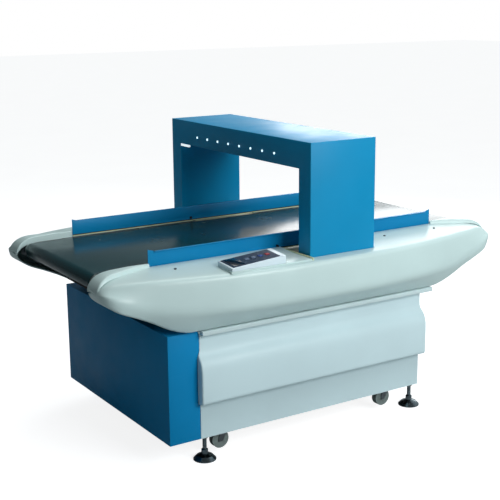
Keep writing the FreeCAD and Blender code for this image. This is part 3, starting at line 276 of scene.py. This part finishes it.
@dataclass
class Paintshop:
    """Makes each finish's material once."""

    stock: dict[str, bpy.types.Material] = field(default_factory=dict)

    def material(self, finish: Finish) -> bpy.types.Material:
        """Gives the material of a finish, making it the first time.

        Args:
            finish: the finish.

        Returns:
            Its material.
        """
        if finish.name not in self.stock:
            self.stock[finish.name] = self.mix(finish)
            LOG.info("material %s: %s", finish.name, finish.grain.value)
        return self.stock[finish.name]

    def mix(self, finish: Finish) -> bpy.types.Material:
        """Builds a finish's node tree.

        Args:
            finish: the finish.

        Returns:
            The new material.
        """
        material = bpy.data.materials.new(finish.name)
        material.use_nodes = True
        tree = material.node_tree
        shader = tree.nodes["Principled BSDF"]
        coordinates = tree.nodes.new("ShaderNodeTexCoord")
        wiring = Wiring(tree, coordinates.outputs["Object"])
        base = tuple(linear(value) for value in finish.colour)
        dark = tuple(value * (1 - finish.vary) for value in base)
        light = tuple(min(1.0, value * (1 + finish.vary)) for value in base)
        colour = wiring.tint(wiring.noise(*COLOUR_DRIFT), dark, light)
        if finish.grime:
            colour = wiring.worn(colour, tuple(value * WORN_SHADE for value in base), finish.grime)
        tree.links.new(colour, shader.inputs["Base Color"])
        rough = wiring.ranged(wiring.noise(*ROUGHNESS_DRIFT), finish.roughness * 0.85,
                              finish.roughness * 1.15)
        tree.links.new(rough, shader.inputs["Roughness"])
        scale, detail, stretch, strength, distance = GRAINS[finish.grain]
        height = wiring.noise(scale, detail, stretch)
        tree.links.new(wiring.bump(height, strength, distance), shader.inputs["Normal"])
        shader.inputs["Metallic"].default_value = finish.metallic
        shader.inputs["Specular IOR Level"].default_value = finish.shine
        if finish.glow:
            tree.links.new(colour, shader.inputs["Emission Color"])
            shader.inputs["Emission Strength"].default_value = finish.glow
        return material


SHOP = Paintshop()
COLOUR_DRIFT = (3.5, 4)
ROUGHNESS_DRIFT = (9, 5)
WORN_PATCHES = (55, 6)
WORN_SHADE = 0.25


# ---------------------------------------------------------------- mesh tools

def body_of_node(node: str) -> str:
    """Finds the body that a CAD node rides on.

    Args:
        node: the node's name.

    Returns:
        The body's name.
    """
    for body, nodes in frame["record"]["behaviour"]["bodies"].items():
        if node in nodes:
            return body
    raise KeyError(node)


@dataclass
class Maker:
    """Turns meshes into pieces that ride on one CAD node's body.

    Args:
        node: the CAD node that the pieces belong with.
    """

    node: str

    def piece(self, name: str, mesh: bmesh.types.BMesh, finish: Finish,
              sharp: float = 40.0, replaces: Sequence[str] = ()) -> bpy.types.Object:
        """Makes an object of a mesh, with its finish, body and slot.

        Args:
            name: the piece's name.
            mesh: the mesh, which is freed.
            finish: its finish.
            sharp: edges over this angle, in degrees, stay sharp.
            replaces: CAD nodes that the piece stands for.

        Returns:
            The new object.
        """
        bmesh.ops.remove_doubles(mesh, verts=mesh.verts, dist=1e-6)
        bmesh.ops.recalc_face_normals(mesh, faces=mesh.faces)
        data = bpy.data.meshes.new(name)
        mesh.to_mesh(data)
        mesh.free()
        data.shade_smooth()
        data.set_sharp_from_angle(angle=math.radians(sharp))
        data.materials.append(SHOP.material(finish))
        item = bpy.data.objects.new(name, data)
        bpy.context.scene.collection.objects.link(item)
        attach(item, body_of_node(self.node))
        if replaces:
            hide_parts(*replaces)
        LOG.info("piece %s: %d faces on %s", name, len(data.polygons), self.node)
        return item


def node_mesh(node: str) -> bmesh.types.BMesh:
    """Copies a CAD node's mesh with its flat faces made whole.

    Args:
        node: the node's name.

    Returns:
        The copy.
    """
    mesh = bmesh.new()
    mesh.from_mesh(frame["nodes"][node].data)
    bmesh.ops.remove_doubles(mesh, verts=mesh.verts, dist=1e-5)
    bmesh.ops.dissolve_limit(mesh, angle_limit=math.radians(0.5), verts=mesh.verts,
                             edges=mesh.edges)
    return mesh


def soften(mesh: bmesh.types.BMesh, width: float, segments: int = 2) -> bmesh.types.BMesh:
    """Rounds the mesh's sharp edges.

    Args:
        mesh: the mesh, changed in place.
        width: the rounding's width, in metres.
        segments: its segments.

    Returns:
        The same mesh.
    """
    limit = math.radians(SHARP_EDGE)
    edges = [edge for edge in mesh.edges
             if len(edge.link_faces) == 2 and edge.calc_face_angle(0) > limit]
    bmesh.ops.bevel(mesh, geom=edges, offset=width, offset_type="OFFSET", segments=segments,
                    profile=0.5, affect="EDGES", clamp_overlap=True, material=-1)
    return mesh


def box_mesh(low: Spot, high: Spot, width: float = 0.0, segments: int = 2) -> bmesh.types.BMesh:
    """Makes a box with rounded edges.

    Args:
        low: its lowest corner.
        high: its highest corner.
        width: the rounding's width.
        segments: the rounding's segments.

    Returns:
        The mesh.
    """
    mesh = bmesh.new()
    middle = [(a + b) / 2 for a, b in zip(low, high)]
    spread = [b - a for a, b in zip(low, high)]
    matrix = Matrix.Translation(middle) @ Matrix.Diagonal((*spread, 1))
    bmesh.ops.create_cube(mesh, size=1, matrix=matrix)
    return soften(mesh, width, segments) if width else mesh


def grid_mesh(rows: Sequence[Sequence[Spot]], close_across: bool = False,
              caps: bool = False) -> bmesh.types.BMesh:
    """Makes a skin over rows of points.

    Args:
        rows: rows of the same number of points.
        close_across: joins each row's last point to its first.
        caps: fills the first and the last row.

    Returns:
        The mesh.
    """
    mesh = bmesh.new()
    verts = [[mesh.verts.new(point) for point in row] for row in rows]
    count = len(rows[0])
    for lower, upper in zip(verts, verts[1:]):
        for place in range(count if close_across else count - 1):
            after = (place + 1) % count
            mesh.faces.new((lower[place], lower[after], upper[after], upper[place]))
    if caps:
        mesh.faces.new(verts[0])
        mesh.faces.new(verts[-1])
    return mesh


def rounded(corners: Sequence[Point], radii: Sequence[float], steps: int = 5) -> list[Point]:
    """Rounds the corners between the ends of an open outline.

    Args:
        corners: the outline's corners.
        radii: each corner's reach of rounding; the two ends' are ignored.
        steps: points on each rounding.

    Returns:
        The rounded outline.
    """
    points = [corners[0]]
    for before, corner, after, reach in zip(corners, corners[1:], corners[2:], radii[1:]):
        here = Vector(corner)
        back = Vector(before) - here
        ahead = Vector(after) - here
        start = here + back.normalized() * min(reach, back.length * 0.45)
        end = here + ahead.normalized() * min(reach, ahead.length * 0.45)
        for step in range(steps):
            share = step / (steps - 1)
            bend = start * (1 - share) ** 2 + here * 2 * share * (1 - share) + end * share ** 2
            points.append((bend.x, bend.y))
    points.append(corners[-1])
    return points


def smooth_value(table: Sequence[Sequence[float]], column: int, way: float) -> float:
    """Reads a column of a table between its rows along a smooth curve with no overshoot.

    Args:
        table: rows that start with a distance, in rising order.
        column: the column to read.
        way: the distance to read it at.

    Returns:
        The value there.
    """
    if way <= table[0][0]:
        return table[0][column]
    if way >= table[-1][0]:
        return table[-1][column]
    ways = [row[0] for row in table]
    values = [row[column] for row in table]
    slopes = [(values[i + 1] - values[i]) / (ways[i + 1] - ways[i]) for i in range(len(ways) - 1)]
    tangents = [slopes[0]]
    for first, second in zip(slopes, slopes[1:]):
        level = first * second <= 0
        tangents.append(0.0 if level else 2 * first * second / (first + second))
    tangents.append(slopes[-1])
    index = max(i for i in range(len(ways) - 1) if ways[i] <= way)
    span = ways[index + 1] - ways[index]
    share = (way - ways[index]) / span
    square, cube = share ** 2, share ** 3
    return (values[index] * (2 * cube - 3 * square + 1)
            + tangents[index] * span * (cube - 2 * square + share)
            + values[index + 1] * (3 * square - 2 * cube)
            + tangents[index + 1] * span * (cube - square))


def refined(node: str, finish: Finish, width: float, segments: int) -> None:
    """Stands a copy with rounded edges in for a CAD node.

    Args:
        node: the node's name.
        finish: its finish.
        width: the rounding's width.
        segments: the rounding's segments.
    """
    mesh = soften(node_mesh(node), width, segments)
    Maker(node).piece(f"{node}_finished", mesh, finish, 30, replaces=[node])


def painted(node: str, finish: Finish) -> None:
    """Gives a CAD node a finish and leaves its shape alone.

    Args:
        node: the node's name.
        finish: the finish.
    """
    item = frame["nodes"][node]
    if not item.material_slots:
        item.data.materials.append(None)
    for slot in item.material_slots:
        slot.material = SHOP.material(finish)
    LOG.info("node %s: %s", node, finish.name)


# ---------------------------------------------------------------- side covers

# Stations along half a cover.  Each row is the distance in from the nose, then how far the
# top, the crease, the strake and the keel lie inside and above their places amidships, in mm.
STATIONS = (
    (0, 44, 180, 36, 178, 100, 58, 174), (6, 33, 171, 28, 150, 100, 36, 160),
    (18, 21, 162, 19, 129, 97, 15, 146), (36, 11, 151, 12, 116, 90, 0, 132),
    (62, 4, 138, 7, 106, 78, -11, 117), (110, 0, 116, 3, 96, 54, -14, 97),
    (180, 0, 92, 1, 84, 33, -10, 65), (255, 0, 72, 0, 68, 19, -4, 25),
    (320, 0, 57, 0, 54, 12, -1, 3), (345, 0, 52, 0, 49, 10, 0, 0),
    (520, 0, 20, 0, 20, 3, 0, 0), (720, 0, 4, 0, 4, 0, 0, 0),
)
CAP_STATIONS = (
    (1, 74, -41), (6, 74, -29), (12, 73, -21), (20, 70, -12), (34, 66, -3), (54, 60, 5),
    (81, 52, 9), (115, 42, 11), (170, 25, 13), (244, 4, 12),
)


# Rows that close a nose: the share of the section that is left, and how far out it lies, in mm.
NOSE_CLOSING = ((0.7, 1.5), (0.35, 2.6))
CAP_STEPS = 40
# Sections along half a cover, as distances in from the nose.
SECTION_WAYS = (0, 2, 4, 7, 11, 16, 22, 29, 36, 45, 54, 64, 75, 88, 102, 118, 136, 156, 178,
                202, 228, 255, 285, 320, 360, 405, 455, 510, 570, 640, 720)
PLINTH = ((-0.459, -0.564, 0.742), (-0.1, -0.456, 0.752))
LEG_EDGE = ((-0.104, -0.566, 0.746), (-0.098, -0.380, 0.757))


@dataclass
class SideCover:
    """One boat-shaped moulded cover, on the operator's side or the far one.

    Args:
        side: -1 for the operator's side, 1 for the far side.
    """

    side: int
    half_length: float = 920
    inner: float = 341
    bottom_inner: float = 351
    top: float = 757
    crease: Point = (594, 745)
    strake: Point = (602, 606)
    keel: Point = (475, 523)
    cut_width: float = 533
    cut_x: Point = (-99, 221)
    mouth: float = 580
    wall: float = 0.005

    @property
    def node(self) -> str:
        """The CAD node that this cover stands for."""
        return "front_side_cover" if self.side == FRONT else "rear_side_cover"

    def section(self, from_nose: float) -> list[Point]:
        """Works out the cover's rounded section.

        Args:
            from_nose: how far in from the nose, in mm.

        Returns:
            (distance from the middle, height) points, from the lip round to the keel.
        """
        top_drop, crease_in, crease_drop, strake_in, strake_rise, keel_in, keel_rise = (
            smooth_value(STATIONS, column, from_nose) for column in range(1, 8))
        top = self.top - top_drop
        crease = (self.crease[0] - crease_in, self.crease[1] - crease_drop)
        strake = (self.strake[0] - strake_in, self.strake[1] + strake_rise)
        keel = (self.keel[0] - keel_in, self.keel[1] + keel_rise)
        share = min(1.0, from_nose / 110)
        cut = min(self.cut_width, self.inner + (crease[0] - self.inner) * 0.78)
        slope = (crease[1] - top) / (crease[0] - self.inner)
        belly = ((crease[0] + strake[0]) / 2 + 3 * share, (crease[1] + strake[1]) / 2)
        corners = [
            (self.inner, top - 3 - 9 * share), (self.inner, top),
            (cut, top + (cut - self.inner) * slope), crease, belly, strake, keel,
            (self.bottom_inner, keel[1]),
        ]
        radii = [0, 4, 0.01, 6 + 12 * share, 60, 12 + 16 * share, 10, 0]
        return rounded(corners, radii, 5)

    def ways(self) -> list[float]:
        """Lists the X places of the sections, close together towards the noses."""
        places = {end * (self.half_length - way) for end in ENDS for way in SECTION_WAYS}
        return sorted(places | set(self.cut_x) | {-self.mouth, self.mouth, 0})

    def shell(self) -> bmesh.types.BMesh:
        """Builds the cover's skin with its openings and its wall."""
        rows = []
        for x in self.ways():
            points = self.section(self.half_length - abs(x))
            rows.append([(x * MM, self.side * w * MM, z * MM) for w, z in points])
        for end, row in ((0, rows[0]), (-1, rows[-1])):
            centre = sum((Vector(point) for point in row), Vector()) / len(row)
            for share, out in NOSE_CLOSING:
                shrunk = [tuple(centre.lerp(Vector(point), share)) for point in row]
                beyond = [(x + (out if end else -out) * MM, y, z) for x, y, z in shrunk]
                rows.insert(0 if end == 0 else len(rows), beyond)
        mesh = grid_mesh(rows, caps=True)
        gone = []
        for face in mesh.faces:
            spot = face.calc_center_median()
            x, w, z = spot.x / MM, abs(spot.y) / MM, spot.z / MM
            leg = self.cut_x[0] < x < self.cut_x[1] and w < self.cut_width and z > 700
            below = abs(x) < self.mouth and z < self.keel[1] + 1 and w < self.keel[0] - 14
            if leg or below:
                gone.append(face)
        bmesh.ops.delete(mesh, geom=gone, context="FACES")
        bmesh.ops.recalc_face_normals(mesh, faces=mesh.faces)
        bmesh.ops.solidify(mesh, geom=mesh.faces, thickness=self.wall)
        return mesh

    def cap(self, end: int) -> bmesh.types.BMesh:
        """Builds the raised strip on one end of the cover.

        Args:
            end: -1 for the infeed end, 1 for the outfeed end.

        Returns:
            The mesh.
        """
        rows = []
        first, last = CAP_STATIONS[0][0], CAP_STATIONS[-1][0]
        for step in range(CAP_STEPS + 1):
            way = first + (last - first) * step / CAP_STEPS
            width = smooth_value(CAP_STATIONS, 1, way)
            rise = smooth_value(CAP_STATIONS, 2, way)
            section = self.section(way)
            top = self.top - smooth_value(STATIONS, 1, way)
            inner = section[0][0] - 1
            height = max(self.top + rise, top + 1.5)
            corners = [(inner, top - 14), (inner, height), (inner + width + 2, height - 1),
                       (inner + width + 8, top - 6)]
            points = rounded(corners, [0, 3, 7, 0], 5)
            x = end * (self.half_length - way)
            rows.append([(x * MM, self.side * w * MM, z * MM) for w, z in points])
        return grid_mesh(rows, close_across=True, caps=True)

    def build(self) -> None:
        """Makes the cover's pieces."""
        maker = Maker(self.node)
        label = self.node
        maker.piece(f"{label}_shell", self.shell(), COVER_WHITE, 50, replaces=[self.node])
        for end, name in zip(ENDS, ("infeed", "outfeed")):
            maker.piece(f"{label}_{name}_cap", self.cap(end), COVER_WHITE, 50)
        if self.side == FRONT:
            maker.piece("box_plinth", box_mesh(*PLINTH, 0.0015), COVER_WHITE)
            maker.piece("leg_edge_painted_shade", box_mesh(*LEG_EDGE, 0.002, 3), CREAM_TRIM_AND_PAINTED_HIGHLIGHT)


# ---------------------------------------------------------------- side panels

@dataclass
class SidePanel:
    """One moulded side panel with its middle band standing out.

    Args:
        side: -1 for the operator's side, 1 for the far side.
    """

    side: int
    face: float = 453
    back: float = 445
    infeed_x: float = -534
    outfeed_x: float = 535
    lap: float = 9.5
    # (height, how far the skin stands out) from the foot to the lip, in mm
    profile: tuple[Point, ...] = (
        (94, 0), (232, 0), (234.5, 3), (236, 12), (238.5, 30), (243, 34), (252, 35), (352, 35),
        (372, 34), (388, 31), (402, 25), (414, 16), (424, 8), (434, 3), (446, 0.5), (462, 0),
        (492, 0), (503, 1.5), (511, 4.5), (515, 6), (517, 6))

    @property
    def node(self) -> str:
        """The CAD node that this panel stands for."""
        return "front_side_panel" if self.side == FRONT else "rear_side_panel"

    def level(self, height: float, out: float) -> list[Spot]:
        """Works out the panel's plan outline at one height.

        Args:
            height: the height.
            out: how far the skin stands out there.

        Returns:
            Points from the infeed end's edge to the outfeed end's.
        """
        wide = min(out, self.lap)
        reach = self.face + out
        infeed = self.infeed_x - wide
        outfeed = self.outfeed_x + wide
        turn = 3 + wide * 0.5
        start = self.face + 0.6 if wide > 0.4 else self.back
        corners = [(infeed, start), (infeed, reach), (outfeed, reach), (outfeed, self.back + 0.5)]
        points = rounded(corners, [0, turn, turn, 0], 6)
        return [(x * MM, self.side * w * MM, height * MM) for x, w in points]

    def build(self) -> None:
        """Makes the panel's skin, with a wall of its own."""
        rows = [self.level(height, out) for height, out in self.profile]
        mesh = grid_mesh(rows)
        bmesh.ops.recalc_face_normals(mesh, faces=mesh.faces)
        bmesh.ops.solidify(mesh, geom=mesh.faces, thickness=0.004)
        Maker(self.node).piece(f"{self.node}_skin", mesh, PANEL_WHITE, 60, replaces=[self.node])


# ---------------------------------------------------------------- stage

# name, place, aim, size and power in watts of each light
LAMPS: tuple[tuple[str, Spot, Spot, Point, float], ...] = (
    ("key", (0.9, -4.4, 2.6), (0, 0, 0.6), (2.6, 2.0), 150),
    ("top", (0.5, 0.4, 3.8), (0, 0, 0.7), (3.2, 2.6), 60),
    ("back", (3.4, 2.6, 2.2), (0.3, 0, 0.7), (2.6, 2.0), 60),
)
# How the backdrop's light grows from its left, at the first X, to its right.
BACKDROP = (("From Min", 0.30), ("From Max", 0.66), ("To Min", 0.12), ("To Max", 0.62))
FLOOR_REACH = 30
FLOOR_GLOW = 0.86


@dataclass
class Studio:
    """The camera, the backdrop, the floor and the lights."""

    eye: Spot = (-2.4024, -3.7122, 1.6951)
    right: Spot = (0.84046759, -0.54180586, -0.00778699)
    up: Spot = (0.12939115, 0.18671939, 0.97385512)
    forward: Spot = (0.52618643, 0.81950124, -0.22703648)
    lens: float = 77.13

    def camera(self) -> None:
        """Sets the camera up."""
        data = bpy.data.cameras.new("camera")
        data.lens = self.lens
        data.sensor_width = 36
        data.clip_end = 50
        item = bpy.data.objects.new("camera", data)
        axes = Matrix((self.right, self.up, [-value for value in self.forward])).transposed()
        item.matrix_world = Matrix.Translation(self.eye) @ axes.to_4x4()
        bpy.context.scene.collection.objects.link(item)
        bpy.context.scene.camera = item

    def lamp(self, name: str, spot: Spot, target: Spot, size: Point, power: float) -> None:
        """Adds a soft rectangular light.

        Args:
            name: its name.
            spot: where it hangs.
            target: what it faces.
            size: its width and height.
            power: its power in watts.
        """
        data = bpy.data.lights.new(name, "AREA")
        data.shape = "RECTANGLE"
        data.size, data.size_y = size
        data.energy = power
        item = bpy.data.objects.new(name, data)
        item.location = spot
        item.rotation_euler = (Vector(target) - Vector(spot)).to_track_quat("-Z", "Y").to_euler()
        bpy.context.scene.collection.objects.link(item)

    def world(self) -> None:
        """Makes the backdrop white to the eye, and a soft grey, brighter to the right, to light."""
        world = bpy.data.worlds.new("studio")
        world.use_nodes = True
        bpy.context.scene.world = world
        tree = world.node_tree
        output = tree.nodes["World Output"]
        fill = tree.nodes["Background"]
        fill.inputs["Color"].default_value = (0.86, 0.96, 1.0, 1)
        coordinates = tree.nodes.new("ShaderNodeTexCoord")
        parts = tree.nodes.new("ShaderNodeSeparateXYZ")
        tree.links.new(coordinates.outputs["Generated"], parts.inputs["Vector"])
        ramp = tree.nodes.new("ShaderNodeMapRange")
        ramp.interpolation_type = "SMOOTHSTEP"
        for name, value in BACKDROP:
            ramp.inputs[name].default_value = value
        tree.links.new(parts.outputs["X"], ramp.inputs["Value"])
        tree.links.new(ramp.outputs["Result"], fill.inputs["Strength"])
        seen = tree.nodes.new("ShaderNodeBackground")
        seen.inputs["Color"].default_value = (1, 1, 1, 1)
        path = tree.nodes.new("ShaderNodeLightPath")
        mix = tree.nodes.new("ShaderNodeMixShader")
        tree.links.new(path.outputs["Is Camera Ray"], mix.inputs["Fac"])
        tree.links.new(fill.outputs["Background"], mix.inputs[1])
        tree.links.new(seen.outputs["Background"], mix.inputs[2])
        tree.links.new(mix.outputs["Shader"], output.inputs["Surface"])

    def floor(self) -> None:
        """Lays a pale floor: nearly white to the eye, a mid grey to bounced light."""
        mesh = box_mesh((-FLOOR_REACH, -FLOOR_REACH, -0.02), (FLOOR_REACH, FLOOR_REACH, 0))
        data = bpy.data.meshes.new("floor")
        mesh.to_mesh(data)
        mesh.free()
        item = bpy.data.objects.new("floor", data)
        bpy.context.scene.collection.objects.link(item)
        material = bpy.data.materials.new("pale floor")
        material.use_nodes = True
        tree = material.node_tree
        shader = tree.nodes["Principled BSDF"]
        coordinates = tree.nodes.new("ShaderNodeTexCoord")
        wiring = Wiring(tree, coordinates.outputs["Object"])
        tree.links.new(wiring.tint(wiring.noise(2, 2), (0.4, 0.42, 0.43), (0.44, 0.46, 0.47)),
                       shader.inputs["Base Color"])
        shader.inputs["Roughness"].default_value = 0.9
        shader.inputs["Specular IOR Level"].default_value = 0.0
        shader.inputs["Emission Color"].default_value = (1, 1, 1, 1)
        path = tree.nodes.new("ShaderNodeLightPath")
        lift = tree.nodes.new("ShaderNodeMath")
        lift.operation = "MULTIPLY"
        lift.inputs[1].default_value = FLOOR_GLOW
        tree.links.new(path.outputs["Is Camera Ray"], lift.inputs[0])
        tree.links.new(lift.outputs["Value"], shader.inputs["Emission Strength"])
        data.materials.append(material)

    def build(self) -> None:
        """Sets the whole stage."""
        self.camera()
        self.world()
        self.floor()
        for lamp in LAMPS:
            self.lamp(*lamp)
        bpy.context.scene.view_settings.view_transform = "Standard"
        LOG.info("stage ready")


# ---------------------------------------------------------------- the machine

REFINED: tuple[tuple[str, Finish, float, int], ...] = (
    ("arch_shell", HEAD_BLUE, 0.003, 3), ("infeed_cabinet", CABINET_BLUE_SHADED, 0.0009, 2),
    ("base_deck", DECK_WHITE, 0.001, 2), ("control_box", BOX_WHITE, 0.0012, 2),
    ("control_fascia", FASCIA_DARK, 0.0004, 1), ("display_window", GLASS_DARK, 0.0004, 2),
    ("up_key", KEY_GREY, 0.0007, 2), ("down_key", KEY_GREY, 0.0007, 2),
    ("set_key", KEY_BLUE, 0.0007, 2), ("stop_key", KEY_RED, 0.0007, 2),
    ("belt", BELT_GREEN, 0.0008, 2), ("drive_roller", ROLLER_GREY, 0.001, 2),
    ("tail_roller", ROLLER_GREY, 0.001, 2), ("infeed_return_roller", ROLLER_GREY, 0.001, 2),
    ("outfeed_return_roller", ROLLER_GREY, 0.001, 2),
)
PAINTED: tuple[tuple[str, Finish], ...] = (
    ("drive_bearings", MOTOR_GREY), ("tail_take_ups", BRASS), ("front_bed_plate", STEEL),
    ("rear_bed_plate", STEEL), ("slider_bed", STEEL), ("cross_members", STEEL),
    ("lower_detector_head", COIL), ("bed_stands", FRAME_GREY), ("belly_pans", DARK_PAN),
    ("gearmotor", MOTOR_GREY), ("motor_sprocket", CHAIN), ("roller_sprocket", CHAIN),
    ("drive_chain", CHAIN), ("upper_coil", COIL), ("indicator_lamps", LAMP),
    # tunnel_light glows as a painted glint
    ("tunnel_light", TUNNEL_GLINT), ("photo_eyes", BLACK), ("cover_screws", BLACK),
    ("base_frame", FRAME_GREY), ("outfeed_end_panel", DECK_WHITE), ("electrics_plate", ZINC),
    ("detector_unit", UNIT_GREY), ("motor_inverter", UNIT_GREY), ("mains_inlet", BLACK),
    ("power_rocker", KEY_RED), ("foot_lock_nuts", ZINC), ("caster_plates", ZINC),
)
RAIL_FOOT = 0.7531
RAIL_FOOT_WIDTH = (0.3362, 0.3396)
RAIL_ROUNDING = 0.0006
PAINTED_STRIP_SETBACK = 0.002
# name, finish, bottom and top of each strip along a rail's foot: a black strip of painted shade for
# the dark gap between rail and belt, and a cream strip of painted highlight for the belt's lit edge
RAIL_FOOT_SHADE_AND_HIGHLIGHT = (("painted_shade", BLACK, 0.7512, 0.7548), ("painted_highlight", CREAM_TRIM_AND_PAINTED_HIGHLIGHT, 0.7478, 0.7512))


def guide_rail(node: str) -> None:
    """Stands a rail without its hidden tabs in for a CAD rail, and lays a strip of painted shade
    and a strip of painted highlight along its foot.

    Args:
        node: the rail's node.
    """
    low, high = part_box(node)
    mesh = node_mesh(node)
    geometry = mesh.verts[:] + mesh.edges[:] + mesh.faces[:]
    bmesh.ops.bisect_plane(mesh, geom=geometry, plane_co=(0, 0, RAIL_FOOT), plane_no=(0, 0, 1),
                           clear_inner=True)
    bmesh.ops.holes_fill(mesh, edges=mesh.edges, sides=0)
    maker = Maker(node)
    maker.piece(f"{node}_sheet", soften(mesh, RAIL_ROUNDING), RAIL_BLUE_SHADED, 30, replaces=[node])
    side = 1 if low.y > 0 else -1
    near, far = sorted(side * width for width in RAIL_FOOT_WIDTH)
    # painted shade strip and painted highlight strip under the rail's foot
    for name, finish, bottom, top in RAIL_FOOT_SHADE_AND_HIGHLIGHT:
        strip = box_mesh((low.x + PAINTED_STRIP_SETBACK, near, bottom), (high.x - PAINTED_STRIP_SETBACK, far, top),
                         RAIL_ROUNDING)
        maker.piece(f"{node}_{name}", strip, finish)


RAILS = ("front_guide_rail", "rear_guide_rail")
CORNERS = ("front_infeed", "front_outfeed", "rear_infeed", "rear_outfeed")


def main() -> None:
    """Builds the scene."""
    Studio().build()
    for node, finish, width, segments in REFINED:
        refined(node, finish, width, segments)
    for node, finish in PAINTED:
        painted(node, finish)
    for node in RAILS:
        guide_rail(node)
    for corner in CORNERS:
        painted(f"{corner}_foot", CHROME)
        painted(f"{corner}_caster_fork", STEEL)
        painted(f"{corner}_caster_wheel", TYRE)
    for side in SIDES:
        SideCover(side).build()
        SidePanel(side).build()


if __name__ == "__main__":
    main()
